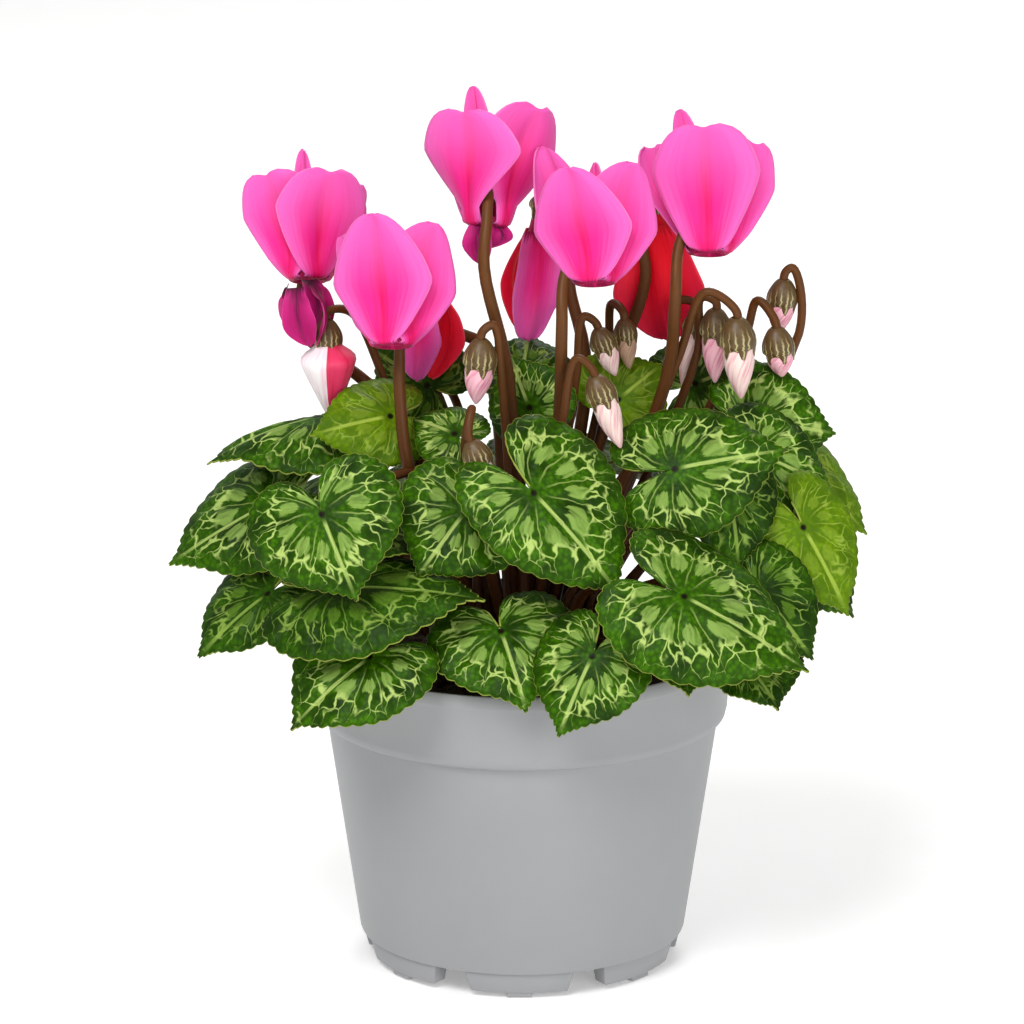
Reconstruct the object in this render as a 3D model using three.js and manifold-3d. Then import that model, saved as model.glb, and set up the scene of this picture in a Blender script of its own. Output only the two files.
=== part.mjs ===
// A florist's cyclamen in a plastic nursery pot: the pot, the peat that fills it, the tuber with every stalk
// that grows out of it, the leaf blades, the corollas of the flowers and the petals of the buds.
// Millimetres, +Z up. The origin is the centre of the circle that the pot's feet stand on, +X is the plant's
// right and -Y its front.

import * as THREE from "three";
import { mergeVertices } from "three/addons/utils/BufferGeometryUtils.js";
import Module from "manifold-3d";

const wasm = await Module();
wasm.setup();

// Driving dimensions

const GAP = 0.35; // between two pieces that meet

const POT_HEIGHT = 93.3;
const POT_WALL = 1.3;
const POT_SIDES = 36;
const RIM_RADIUS = 60;
const COLLAR_HEIGHT = 22.5; // the wider band under the rim
const COLLAR_STEP = 2.6; // how far the band stands out from the wall
const WALL_TOP_RADIUS = 55.8; // outside, just under the collar
const WALL_BASE_RADIUS = 46.6; // outside, where the feet begin
const FEET_TOP = 7.3;
const PAD_HEIGHT = 1.3; // the small pad under the middle of each foot
const FEET = 7;
const FOOT_DEPTH = 8;
const FOOT_GAP_DEG = 11.5;
const FIRST_FOOT_DEG = -91.2; // the foot at the front, turned a little to the left
const DRAIN_RADIUS = 4;
const DRAIN_RING = 27;

const SOIL_TOP = 84;
const TUBER_RADIUS = 21;
const TUBER_HALF_HEIGHT = 10;
const TUBER_CENTRE_Z = 81.5;

const BLADE_THICKNESS = 0.7;
const PETIOLE_RADIUS = 1.35;
const PEDICEL_BASE_RADIUS = 2.1;
const PEDICEL_TOP_RADIUS = 1.6;

const PETAL_THICKNESS = 0.8;
const PETAL_LENGTH = 36; // the length that the middle lines of the petals below are drawn at
const CALYX_RADIUS = 3.8;
const CALYX_HEIGHT = 4;

// Colours and finishes

function material(hex, roughness) {
  return new THREE.MeshStandardMaterial({ color: new THREE.Color(hex), roughness, metalness: 0 });
}

const potPlastic = material("#a9abad", 0.5);
const peat = material("#2b1c12", 1);
const stalkSkin = material("#6d3318", 0.6);
const leafGreen = material("#2f6a18", 0.5);
const petalPink = material("#fb4fb4", 0.6);
const petalRed = material("#e0142c", 0.6);
const budPink = material("#f3c9c6", 0.6);

// Between triangle meshes and solids

function solidOf(geometry) {
  const bare = geometry.index ? geometry.toNonIndexed() : geometry.clone();
  bare.deleteAttribute("normal");
  bare.deleteAttribute("uv");
  const merged = mergeVertices(bare, 1e-3);
  return new wasm.Manifold(
    new wasm.Mesh({
      numProp: 3,
      vertProperties: merged.attributes.position.array,
      triVerts: new Uint32Array(merged.index.array),
    }),
  );
}

function geometryOf(solid) {
  const mesh = solid.getMesh();
  const geometry = new THREE.BufferGeometry();
  geometry.setAttribute("position", new THREE.BufferAttribute(mesh.vertProperties, 3));
  geometry.setIndex(new THREE.BufferAttribute(mesh.triVerts, 1));
  return geometry.toNonIndexed();
}

function union(solids) {
  return solids.reduce((whole, solid) => whole.add(solid));
}

function geometryFrom(points, triangles) {
  const geometry = new THREE.BufferGeometry();
  const flat = new Float32Array(points.flatMap((p) => [p.x, p.y, p.z]));
  geometry.setAttribute("position", new THREE.BufferAttribute(flat, 3));
  geometry.setIndex(triangles.flat());
  return geometry;
}

// The direction that a surface faces at each of its points: the mean of the triangles that meet there.
function facing(points, faces) {
  const normals = points.map(() => vec(0, 0, 0));
  faces.forEach((face) => {
    face.forEach((corner, k) => {
      const ahead = points[face[(k + 1) % 3]].clone().sub(points[corner]);
      const behind = points[face[(k + 2) % 3]].clone().sub(points[corner]);
      const normal = ahead.clone().cross(behind).normalize();
      normals[corner].addScaledVector(normal, ahead.angleTo(behind));
    });
  });
  return normals.map((normal) => normal.normalize());
}

// Gives a surface its thickness: both faces, and a wall along every edge that only one triangle has.
function thicken(points, faces, thickness, normals = facing(points, faces)) {
  const count = points.length;
  const both = [thickness / 2, -thickness / 2].flatMap((lift) => {
    return points.map((point, i) => offset(point, [normals[i], lift]));
  });
  const triangles = faces.flatMap(([a, b, c]) => [[a, b, c], [count + a, count + c, count + b]]);
  const edges = new Map();
  faces.forEach(([a, b, c]) => {
    edges.set(`${a} ${b}`, [a, b]).set(`${b} ${c}`, [b, c]).set(`${c} ${a}`, [c, a]);
  });
  edges.forEach(([a, b]) => {
    if (!edges.has(`${b} ${a}`)) {
      triangles.push([a, count + a, count + b], [a, count + b, b]);
    }
  });
  return geometryFrom(both, triangles);
}

// A profile of [radius, z] pairs turned about the upright axis.
function lathe(profile, sides) {
  const points = profile.map(([r, z]) => new THREE.Vector2(r, z));
  return new THREE.LatheGeometry(points, sides).rotateX(Math.PI / 2);
}

const plant = new THREE.Group();

function addMesh(name, geometry, finish) {
  geometry.computeVertexNormals();
  const mesh = new THREE.Mesh(geometry, finish.clone());
  mesh.name = name;
  plant.add(mesh);
}

// Points and directions

const UP = new THREE.Vector3(0, 0, 1);
const rad = THREE.MathUtils.degToRad;

function vec(x, y, z) {
  return new THREE.Vector3(x, y, z);
}

function polar(radius, degrees, z) {
  return vec(radius * Math.cos(rad(degrees)), radius * Math.sin(rad(degrees)), z);
}

// The point reached from start by going a distance along each of the given directions.
function offset(start, ...moves) {
  const point = start.clone();
  moves.forEach(([direction, distance]) => point.addScaledVector(direction, distance));
  return point;
}

// The part of a direction that is square to an axis, at unit length.
function squareTo(axis, direction) {
  return offset(direction, [axis, -direction.dot(axis)]).normalize();
}

// Pot

const collarBase = POT_HEIGHT - COLLAR_HEIGHT;
const collarLow = WALL_TOP_RADIUS + COLLAR_STEP - 0.8;
const floorTop = FEET_TOP + POT_WALL;

function potGeometry() {
  const shell = lathe(
    [
      [0, FEET_TOP],
      [WALL_BASE_RADIUS - 0.8, FEET_TOP],
      [WALL_BASE_RADIUS, FEET_TOP + 1.2],
      [WALL_TOP_RADIUS, collarBase],
      [collarLow, collarBase + 0.7],
      [collarLow + 0.9, collarBase + 3.4],
      [RIM_RADIUS, POT_HEIGHT],
      [RIM_RADIUS - POT_WALL, POT_HEIGHT],
      [WALL_TOP_RADIUS - POT_WALL, collarBase],
      [WALL_BASE_RADIUS - POT_WALL, floorTop + 0.4],
      [0, floorTop],
    ],
    POT_SIDES,
  );
  const feetRing = lathe(
    [
      [WALL_BASE_RADIUS - FOOT_DEPTH, PAD_HEIGHT],
      [WALL_BASE_RADIUS - 2.2, PAD_HEIGHT],
      [WALL_BASE_RADIUS - 0.9, FEET_TOP + 0.4],
      [WALL_BASE_RADIUS - FOOT_DEPTH, FEET_TOP + 0.4],
      [WALL_BASE_RADIUS - FOOT_DEPTH, PAD_HEIGHT],
    ],
    POT_SIDES,
  );
  let pot = solidOf(shell);
  let feet = solidOf(feetRing);
  const pitch = 360 / FEET;
  const gapWidth = 2 * WALL_BASE_RADIUS * Math.sin(rad(FOOT_GAP_DEG / 2));
  for (let i = 0; i < FEET; i += 1) {
    const footAngle = FIRST_FOOT_DEG + i * pitch;
    const gap = new THREE.BoxGeometry(FOOT_DEPTH * 3, gapWidth, FEET_TOP * 2 - 0.1);
    gap.translate(WALL_BASE_RADIUS - FOOT_DEPTH / 2, 0, 0);
    gap.rotateZ(rad(footAngle + pitch / 2));
    feet = feet.subtract(solidOf(gap));
    const pad = new THREE.BoxGeometry(FOOT_DEPTH * 0.5, FOOT_DEPTH * 0.9, PAD_HEIGHT + 1);
    pad.translate(WALL_BASE_RADIUS - 2.8 - FOOT_DEPTH * 0.25, 0, (PAD_HEIGHT + 1) / 2);
    pad.rotateZ(rad(footAngle));
    feet = feet.add(solidOf(pad));
    const drain = new THREE.CylinderGeometry(DRAIN_RADIUS, DRAIN_RADIUS, POT_WALL * 4, 8);
    drain.rotateX(Math.PI / 2);
    drain.translate(DRAIN_RING, 0, FEET_TOP);
    drain.rotateZ(rad(footAngle + pitch / 2));
    pot = pot.subtract(solidOf(drain));
  }
  return geometryOf(pot.add(feet));
}

addMesh("pot", potGeometry(), potPlastic);

// Tuber, and the peat round it

function tuberSolid(clearance) {
  const ball = new THREE.SphereGeometry(1, 12, 6).rotateX(Math.PI / 2);
  ball.scale(TUBER_RADIUS + clearance, TUBER_RADIUS + clearance, TUBER_HALF_HEIGHT + clearance);
  ball.translate(0, 0, TUBER_CENTRE_Z);
  return solidOf(ball);
}

function soilGeometry() {
  const inset = POT_WALL + 0.5;
  const edge = THREE.MathUtils.mapLinear(SOIL_TOP, collarBase, POT_HEIGHT, WALL_TOP_RADIUS, RIM_RADIUS);
  const block = lathe(
    [
      [0, floorTop + GAP],
      [WALL_BASE_RADIUS - inset, floorTop + GAP * 3],
      [WALL_TOP_RADIUS - inset, collarBase],
      [edge - inset, SOIL_TOP - 1.5],
      [edge - 5, SOIL_TOP],
      [WALL_TOP_RADIUS * 0.6, SOIL_TOP - 0.8],
      [0, SOIL_TOP + 0.4],
    ],
    24,
  );
  return geometryOf(solidOf(block).subtract(tuberSolid(GAP)));
}

addMesh("soil", soilGeometry(), peat);

// Stalks: tubes along smooth curves, all fused with the tuber in one body

const stalkSolids = [tuberSolid(0)];

// A closed tube through centres, with the radius at each of them.
function tubeSolid(centres, radii, sides) {
  const points = [];
  const triangles = [];
  const last = centres.length - 1;
  let side = squareTo(centres[1].clone().sub(centres[0]).normalize(), vec(0.31, 0.95, 0.05));
  centres.forEach((centre, j) => {
    const ahead = centres[Math.min(j + 1, last)];
    const behind = centres[Math.max(j - 1, 0)];
    const tangent = ahead.clone().sub(behind).normalize();
    side = squareTo(tangent, side);
    const other = tangent.clone().cross(side);
    for (let i = 0; i < sides; i += 1) {
      const turn = (2 * Math.PI * i) / sides;
      points.push(offset(centre, [side, radii[j] * Math.cos(turn)], [other, radii[j] * Math.sin(turn)]));
    }
  });
  for (let j = 0; j < last; j += 1) {
    for (let i = 0; i < sides; i += 1) {
      const a = j * sides + i;
      const b = j * sides + ((i + 1) % sides);
      triangles.push([a, b, b + sides], [a, b + sides, a + sides]);
    }
  }
  for (let i = 1; i < sides - 1; i += 1) {
    const end = last * sides;
    triangles.push([0, i + 1, i], [end, end + i, end + i + 1]);
  }
  return solidOf(geometryFrom(points, triangles));
}

function smooth(knots, steps) {
  return new THREE.CatmullRomCurve3(knots, false, "centripetal").getPoints(steps);
}

// Where a stalk leaves the tuber: the further out it goes, the nearer to the tuber's edge it starts.
function crownPoint(target) {
  const degrees = THREE.MathUtils.radToDeg(Math.atan2(target.y, target.x));
  const radius = THREE.MathUtils.clamp(Math.hypot(target.x, target.y) * 0.2, 2, TUBER_RADIUS * 0.75);
  return polar(radius, degrees, TUBER_CENTRE_Z + TUBER_HALF_HEIGHT * 0.55);
}

// Leaf blades

// Half of the blade's outline, from the notch at the stalk round to the tip. Lengthwise 1 is the distance
// from the stalk to the tip, sideways 1 is half of the width.
const LEAF_OUTLINE = [
  [-0.06, 0.012],
  [-0.2, 0.05],
  [-0.38, 0.13],
  [-0.52, 0.33],
  [-0.51, 0.63],
  [-0.34, 0.88],
  [-0.06, 1],
  [0.26, 0.95],
  [0.55, 0.73],
  [0.79, 0.4],
  [0.93, 0.15],
  [1, 0],
];
const outlineCurve = new THREE.SplineCurve(LEAF_OUTLINE.map(([u, v]) => new THREE.Vector2(u, v)));
const TEETH = 12; // along the whole edge
const TOOTH = 0.05; // depth of a notch between two teeth, as a share of the blade

// The outline at s, from -1 at the notch on the right through 0 at the tip to 1 at the notch on the left.
function outlineAt(s) {
  const p = outlineCurve.getPoint(1 - Math.abs(s));
  return [p.x, Math.sign(s) * p.y];
}

// The frame of one blade: u runs to the tip, v to the left side and n out of the upper face. The upper face
// is turned towards the compass direction "face", and "tilt" degrees away from facing straight up.
function bladeFrame(leaf) {
  const joint = vec(...leaf.joint);
  const u = vec(...leaf.tip).sub(joint);
  const length = u.length();
  u.normalize();
  const outwards = THREE.MathUtils.radToDeg(Math.atan2(leaf.tip[1], leaf.tip[0]));
  const tilt = rad(leaf.tilt ?? 45);
  const n = squareTo(u, polar(Math.sin(tilt), leaf.face ?? outwards, Math.cos(tilt)));
  return { joint, u, v: n.clone().cross(u), n, length, half: leaf.width / 2 };
}

// A point of the blade at s round the outline and t of the way out from the stalk.
function bladePoint(leaf, frame, s, t) {
  const [outU, outV] = outlineAt(s);
  const u = outU * t;
  const v = outV * t;
  const droop = u > 0 ? (leaf.tipDroop ?? 0.18) : (leaf.lobeDroop ?? 0.25);
  const wave = (leaf.wave ?? 0.03) * Math.sin(9 * s + leaf.width) * t * t * t;
  const rise = (wave - droop * u * u - (leaf.sideDroop ?? 0.16) * v * v) * frame.length;
  return offset(frame.joint, [frame.u, u * frame.length], [frame.v, v * frame.half], [frame.n, rise]);
}

// The blade: a fan round the stalk, one ring of quads and a toothed edge.
function bladeGeometry(leaf) {
  const frame = bladeFrame(leaf);
  const outer = TEETH * 2;
  const points = [frame.joint];
  for (let i = 0; i <= TEETH; i += 1) {
    points.push(bladePoint(leaf, frame, -1 + (2 * i) / TEETH, 0.55));
  }
  for (let i = 0; i <= outer; i += 1) {
    points.push(bladePoint(leaf, frame, -1 + (2 * i) / outer, i % 2 ? 1 - TOOTH : 1));
  }
  const faces = [];
  for (let i = 0; i < TEETH; i += 1) {
    const a = 1 + i;
    const e = TEETH + 2 + 2 * i;
    faces.push([0, a, a + 1], [a, e, e + 1], [a, e + 1, a + 1], [a + 1, e + 1, e + 2]);
  }
  return thicken(points, faces, BLADE_THICKNESS, points.map(() => frame.n));
}

// The petiole leaves the tuber, rises and meets the blade from below.
function petioleSolid(leaf) {
  const { joint, u, n, length } = bladeFrame(leaf);
  const end = offset(joint, [n, -BLADE_THICKNESS / 2 - GAP]);
  const neck = offset(end, [n, -3]);
  const below = offset(end, [n, -3 - length * (leaf.drop ?? 0.25)], [u, -length * 0.15]);
  const root = crownPoint(leaf.root ? vec(...leaf.root, 0) : joint);
  const rise = (end.z - root.z) * (leaf.climb ?? 0.35) + 4;
  const shoulder = offset(root, [vec(below.x - root.x, below.y - root.y, 0), leaf.reach ?? 0.35], [UP, rise]);
  const centres = [...smooth([root, shoulder, below, neck], 4), end];
  return tubeSolid(centres, centres.map(() => PETIOLE_RADIUS), 5);
}

// The leaves seen from the front: where the stalk meets the blade, the tip, the width and how it is held.
const FRONT_LEAVES = [
  {
    name: "front_left", joint: [-55, -57, 145], tip: [-46, -68, 124], width: 45, face: -105, tilt: 62,
    climb: 0.95, reach: 0.2,
  },
  {
    name: "front_centre", joint: [3, -57, 151], tip: [28, -68, 127], width: 44, face: -74, tilt: 60,
    climb: 0.8,
  },
  { name: "front_inner", joint: [-16, -44, 142], tip: [-29, -54, 127], width: 38, face: -80, tilt: 55 },
  { name: "front_right_upper", joint: [42, -39, 153], tip: [73, -39, 160], width: 39, face: -80, tilt: 55 },
  {
    name: "front_right", joint: [44, -69, 125], tip: [79, -77, 109], width: 46, face: -68, tilt: 48,
    climb: 0.65, lobeDroop: 0.05,
  },
  { name: "rim_centre", joint: [19, -69, 108], tip: [9, -81, 90], width: 34, face: -105, tilt: 60 },
  { name: "rim_inner", joint: [-6, -55, 111], tip: [1, -73, 96], width: 42, face: -90, tilt: 42 },
  { name: "rim_left", joint: [-42, -60, 105], tip: [-65, -69, 90], width: 40, face: -115, tilt: 50 },
  {
    name: "left_wide", joint: [-50, -50, 122], tip: [-12, -62, 127], width: 46, face: -95, tilt: 24,
    climb: 0.95, reach: 0.1, drop: 0,
  },
  {
    name: "left_behind", joint: [-37, -32, 133], tip: [-24, -46, 134], width: 24, face: -80, tilt: 20,
    climb: 0.95, reach: 0.35, root: [-48, 8],
  },
  { name: "left_low", joint: [-71, -32, 115], tip: [-92, -38, 101], width: 32, face: -135, tilt: 50 },
  { name: "left_mid", joint: [-71, -14, 136], tip: [-101, -16, 122], width: 44, face: -140, tilt: 50 },
  {
    name: "left_upper", joint: [-58, -2, 158], tip: [-90, -6, 152], width: 42, face: 170, tilt: 10,
    reach: 0.2, sideDroop: 0.4,
  },
  { name: "left_fold", joint: [-37, -16, 162], tip: [-58, -26, 161], width: 28, face: -45, tilt: 50 },
  {
    name: "right_upper", joint: [65, -7, 158], tip: [89, -5, 155], width: 36, face: -60, tilt: 71,
    reach: 0.2,
  },
  {
    name: "right_second", joint: [66, -20, 152], tip: [88, -20, 143], width: 34, face: -75, tilt: 53,
    reach: 0.2, root: [27, -63],
  },
  { name: "right_olive", joint: [75, 6, 143], tip: [101, 8, 124], width: 36, face: -40, tilt: 50 },
  { name: "right_outer", joint: [76, -12, 127], tip: [96, -14, 104], width: 36, face: -65, tilt: 63 },
  {
    name: "right_pale", joint: [78, -31, 134], tip: [92, -37, 111], width: 30, face: -80, tilt: 60,
    climb: 0.65, reach: 0.2,
  },
  { name: "right_dark", joint: [66, -44, 119], tip: [81, -50, 102], width: 30, face: -80, tilt: 71 },
  {
    name: "right_inner", joint: [57, -36, 146], tip: [63, -43, 129], width: 25, face: -75, tilt: 62,
    climb: 0.6, reach: 0.2, drop: 0,
  },
  { name: "right_low", joint: [62, -50, 100], tip: [71, -60, 92], width: 32, face: -65, tilt: 50 },
  { name: "rim_right", joint: [42, -54, 108], tip: [46, -72, 101], width: 36, face: -65, tilt: 35 },
  { name: "inner_front", joint: [2, -6, 162], tip: [-4, -2, 176], width: 24, face: -120, tilt: 65 },
  { name: "top_left", joint: [-27, 11, 164], tip: [-43, 15, 174], width: 28, face: -90, tilt: 75, drop: 0 },
  { name: "top_left_front", joint: [-19, -24, 159], tip: [-31, -17, 163], width: 22, face: -80, tilt: 45 },
  { name: "top_pale", joint: [27, -1, 163], tip: [39, 2, 173], width: 28, face: -65, tilt: 50 },
  {
    name: "top_right", joint: [49, 13, 164], tip: [69, 23, 170], width: 30, face: -60, tilt: 46,
    reach: 0.2,
  },
  { name: "top_back", joint: [0, 12, 168], tip: [2, 26, 177], width: 30, face: -90, tilt: 45 },
];

// The leaves of the back: tiers of blades that point outwards and down. Every second blade is held higher.
const BACK_TIERS = [
  { tier: "low", angles: [30, 80, 135], joint: [60, 110], tip: [88, 90], width: 40, tilt: 45, step: 3 },
  { tier: "mid", angles: [36, 76, 118, 160], joint: [56, 132], tip: [86, 117], width: 40, tilt: 40, step: 5 },
  { tier: "top", angles: [66, 122], joint: [44, 159], tip: [72, 152], width: 40, tilt: 20, step: 4 },
];

function backLeaves() {
  return BACK_TIERS.flatMap(({ tier, angles, joint, tip, width, tilt, step }) =>
    angles.map((angle, i) => ({
      name: `back_${tier}_${i + 1}`,
      joint: polar(joint[0], angle, joint[1] + (i % 2 ? step : 0)).toArray(),
      tip: polar(tip[0], angle + (i % 2 ? 5 : -5), tip[1] + (i % 2 ? step : 0)).toArray(),
      width: width + (i % 2 ? 2 : -2),
      tilt,
    })),
  );
}

const LEAVES = [...FRONT_LEAVES, ...backLeaves()];

LEAVES.forEach((leaf) => {
  addMesh(`leaf_${leaf.name}`, bladeGeometry(leaf), leafGreen);
  stalkSolids.push(petioleSolid(leaf));
});

// Corollas

// Middle line of the corolla's tube as radius and height over the mouth, down from its closed top.
const TUBE_LINE = [
  [0, 8],
  [3, 3.6],
];
// Middle line of a petal that is turned back: over the lip of the mouth, then up and outwards.
const REFLEXED = [
  [4.4, 0.1],
  [6.3, 1.3],
  [7.1, 8],
  [8.5, 16],
  [10.8, 26],
  [14, 36],
];
// Middle line of a petal that still hangs down.
const HANGING = [
  [4.4, 0],
  [5.2, -5],
  [5.8, -12],
  [5.4, -19],
  [4, -26],
  [1.8, -34],
];
const PETAL_STATIONS = [0.07, 0.2, 0.42, 0.64, 0.85, 1];
const PETAL_BASE_DEG = 22; // half of the arc of the mouth that one petal grows from
const NARROW_PETAL = 14; // a petal narrower than this ends in a point

const reflexedCurve = new THREE.SplineCurve(REFLEXED.map(([r, z]) => new THREE.Vector2(r, z)));
const hangingCurve = new THREE.SplineCurve(HANGING.map(([r, z]) => new THREE.Vector2(r, z)));

// Width of a petal at t along it, as a share of its widest: a claw, a broad middle, a rounded or pointed tip.
function petalBreadth(petal, t) {
  const rise = 0.2 + 0.8 * THREE.MathUtils.smoothstep(t, petal.claw ?? 0.18, 0.66);
  const pointed = petal.pointed || petal.width < NARROW_PETAL;
  const start = pointed ? 0.55 : 0.7;
  const fall = 1 - (Math.max(0, t - start) / (1.015 - start)) ** 2;
  return rise * fall ** (pointed ? 0.8 : 0.5);
}

// A point of a petal in the flower's own frame. a runs across it from -1 to 1.
function petalPoint(petal, a, t) {
  const curve = petal.hanging ? hangingCurve : reflexedCurve;
  const middle = curve.getPoint(t);
  const tangent = curve.getTangent(t);
  const flare = petal.flare * THREE.MathUtils.smoothstep(t, 0.2, 1);
  const twist = rad(petal.twist) * THREE.MathUtils.smoothstep(t, 0.18, 0.42);
  const half = (petal.width / 2) * petalBreadth(petal, t);
  const out = a * half * Math.sin(twist) - petal.curl * half * a * a;
  const z = middle.y * (petal.length / PETAL_LENGTH);
  const point = vec(middle.x + flare + out * tangent.y, a * half * Math.cos(twist), z - out * tangent.x);
  const turned = rad(petal.turn + (petal.lean ?? 0) * THREE.MathUtils.smoothstep(t, 0.3, 0.8));
  return point.applyAxisAngle(UP, turned);
}

// A flower's own frame: z from the mouth up to the top of the tube, x to the plant's right.
function flowerMatrix(flower) {
  const mouth = vec(...flower.mouth);
  const z = vec(...flower.top).sub(mouth).normalize();
  const x = squareTo(z, vec(1, 0, 0));
  return new THREE.Matrix4().makeBasis(x, z.clone().cross(x), z).setPosition(mouth);
}

// The tube closed at its top, and the petals growing out of its lip, as one sheet.
function corollaGeometry(flower) {
  const points = [];
  const faces = [];
  const put = (point) => points.push(point) - 1;
  const petals = flower.petals.map(([turn, length, width, flare, twist, claw, lean]) => {
    return { turn, length, width, flare, twist, claw, lean, ...flower.hold };
  });
  const angles = petals.flatMap(({ turn }) => [turn - PETAL_BASE_DEG, turn, turn + PETAL_BASE_DEG]);
  const lip = flower.hold.hanging ? HANGING[0] : REFLEXED[0];
  const profile = [...TUBE_LINE.slice(1), lip];
  const apex = put(vec(0, 0, TUBE_LINE[0][1]));
  const rings = profile.map(([r, z]) => angles.map((angle) => put(polar(r, angle, z))));
  angles.forEach((_, i) => {
    const next = (i + 1) % angles.length;
    faces.push([apex, rings[0][next], rings[0][i]]);
    for (let j = 0; j < rings.length - 1; j += 1) {
      const [a, b, c, d] = [rings[j][i], rings[j][next], rings[j + 1][next], rings[j + 1][i]];
      faces.push([a, b, c], [a, c, d]);
    }
  });
  petals.forEach((petal, k) => {
    let row = rings.at(-1).slice(3 * k, 3 * k + 3);
    PETAL_STATIONS.forEach((t) => {
      const next = [-1, 0, 1].map((a) => put(petalPoint(petal, a, t)));
      for (let i = 0; i < 2; i += 1) {
        faces.push([row[i], row[i + 1], next[i + 1]], [row[i], next[i + 1], next[i]]);
      }
      row = next;
    });
  });
  return thicken(points, faces, PETAL_THICKNESS).applyMatrix4(flowerMatrix(flower));
}

// The green cap over the tube, and the stalk that comes up beside the tube and bends over into the cap.
function flowerStalkSolid(flower) {
  const matrix = flowerMatrix(flower);
  const capBase = TUBE_LINE[0][1] + PETAL_THICKNESS / 2 + GAP;
  const cap = lathe(
    [
      [0, capBase],
      [CALYX_RADIUS, capBase],
      [CALYX_RADIUS - 0.6, capBase + 2],
      [0, capBase + CALYX_HEIGHT],
    ],
    6,
  );
  const hook = [
    [9.8, 0, -12],
    [9, 0, 1],
    [5.4, 0, 11],
    [3.8, 0, 16],
    [1.8, 0, 17.6],
    [0.3, 0, 15.4],
    [0, 0, capBase + 1.5],
  ].map((p) => vec(...p).applyAxisAngle(UP, rad(flower.stalkSide)).applyMatrix4(matrix));
  const foot = flower.via.map((p) => vec(...p));
  const centres = smooth([crownPoint(foot[0]), ...foot, ...hook], 10);
  const radii = centres.map((_, j) => {
    return THREE.MathUtils.lerp(PEDICEL_BASE_RADIUS, PEDICEL_TOP_RADIUS, Math.min(1, j / 5));
  });
  return union([solidOf(cap.applyMatrix4(matrix)), tubeSolid(centres, radii, 5)]);
}

// Every row of petals gives compass direction, length, width, flare at the tip, twist, how far up the narrow
// claw reaches, and how far the upper part leans round to the left.
const FLOWERS = [
  {
    name: "left",
    mouth: [-60, 4, 196],
    top: [-60, 17, 227],
    stalkSide: 104,
    petals: [
      [-146, 29.5, 25, 1, -40],
      [-66, 29.5, 27, 1.5, 10],
      [-2, 28, 20, 0, 42],
      [56, 40, 10, 0, -30, 0.4, 44],
      [138, 27, 17, 0, -50, 0.2],
    ],
    hold: { curl: 0.2 },
    via: [[-38, -2, 162]],
  },
  {
    name: "front_left",
    mouth: [-36, -28, 185],
    top: [-36, -15, 218],
    stalkSide: 79,
    petals: [
      [-112, 35, 29, 1.5, -10],
      [-34, 33.5, 26, 0, 43],
      [39, 31, 19, 0, 44, 0.3],
      [142, 33, 12, 0, 44, 0.3],
      [182, 31, 22, 0, -40],
    ],
    hold: { curl: 0.2, pointed: true },
    via: [[-31, -26, 147]],
  },
  {
    name: "top",
    mouth: [-10, -6, 214],
    top: [-8, 4, 246],
    stalkSide: -90,
    petals: [
      [-143, 33, 30, 5, 10, 0.38, 12],
      [-31, 34, 27, 1, 10, 0.4, -6],
      [34, 31, 18, 0, 44],
      [84, 43, 11, 0, 56, 0.05, 34],
      [137, 30, 12, 0, 44, 0.05, 4],
    ],
    hold: { curl: 0.2 },
    via: [[-4, -12, 172]],
  },
  {
    name: "centre",
    mouth: [20, -25, 202],
    top: [19, -12, 235],
    stalkSide: 192,
    petals: [
      [-108, 30.5, 29, 1.5, -8, 0.12],
      [-36, 32.5, 26, 0, 44],
      [34, 31, 19, 0, 48],
      [86, 40, 12, 0, 50],
      [152, 40, 19, 1.5, 36, 0.2],
    ],
    hold: { curl: 0.2, pointed: true },
    via: [[10, -20, 159]],
  },
  {
    name: "right",
    mouth: [52, -12, 207.5],
    top: [52, 1, 240.5],
    stalkSide: 191,
    petals: [
      [-98, 34, 31, 1.5, -8, 0.12],
      [-26, 31, 25, 0, 44],
      [44, 31, 18, 0, 48],
      [88, 44, 11, 0, 60, 0.05, 14],
      [162, 31.5, 19, 3, 50, 0.3],
    ],
    hold: { curl: 0.2 },
    via: [[40, -9, 170]],
  },
  {
    name: "back_red",
    mouth: [38, 20, 207],
    top: [37, 20, 215],
    stalkSide: -120,
    petals: [
      [-100, 33, 22, 1, 0],
      [-10, 25, 10, 1.5, 0],
      [130, 30, 14, 1, 0],
    ],
    hold: { curl: 0.2, hanging: true },
    via: [[24, 12, 163]],
  },
  {
    name: "back_magenta",
    mouth: [5, 20, 205],
    top: [6, 20, 213],
    stalkSide: 0,
    petals: [
      [-85, 31, 16, 1, 0],
      [20, 28, 10, 1.5, 0],
      [150, 29, 12, 1, 0],
    ],
    hold: { curl: 0.2, hanging: true },
    via: [[18, 12, 168]],
  },
  {
    name: "back_left",
    mouth: [-26, 6, 192],
    top: [-25, 6, 200],
    stalkSide: 80,
    petals: [
      [-100, 26, 13, 1.5, 24],
      [20, 26, 13, 1.5, 24],
      [140, 26, 13, 1.5, 24],
    ],
    hold: { curl: 0.2, hanging: true },
    via: [[-12, 26, 172]],
  },
];

FLOWERS.forEach((flower) => {
  const finish = flower.name === "back_red" ? petalRed : petalPink;
  addMesh(`flower_${flower.name}`, corollaGeometry(flower), finish);
  stalkSolids.push(flowerStalkSolid(flower));
});

// Buds

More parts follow.
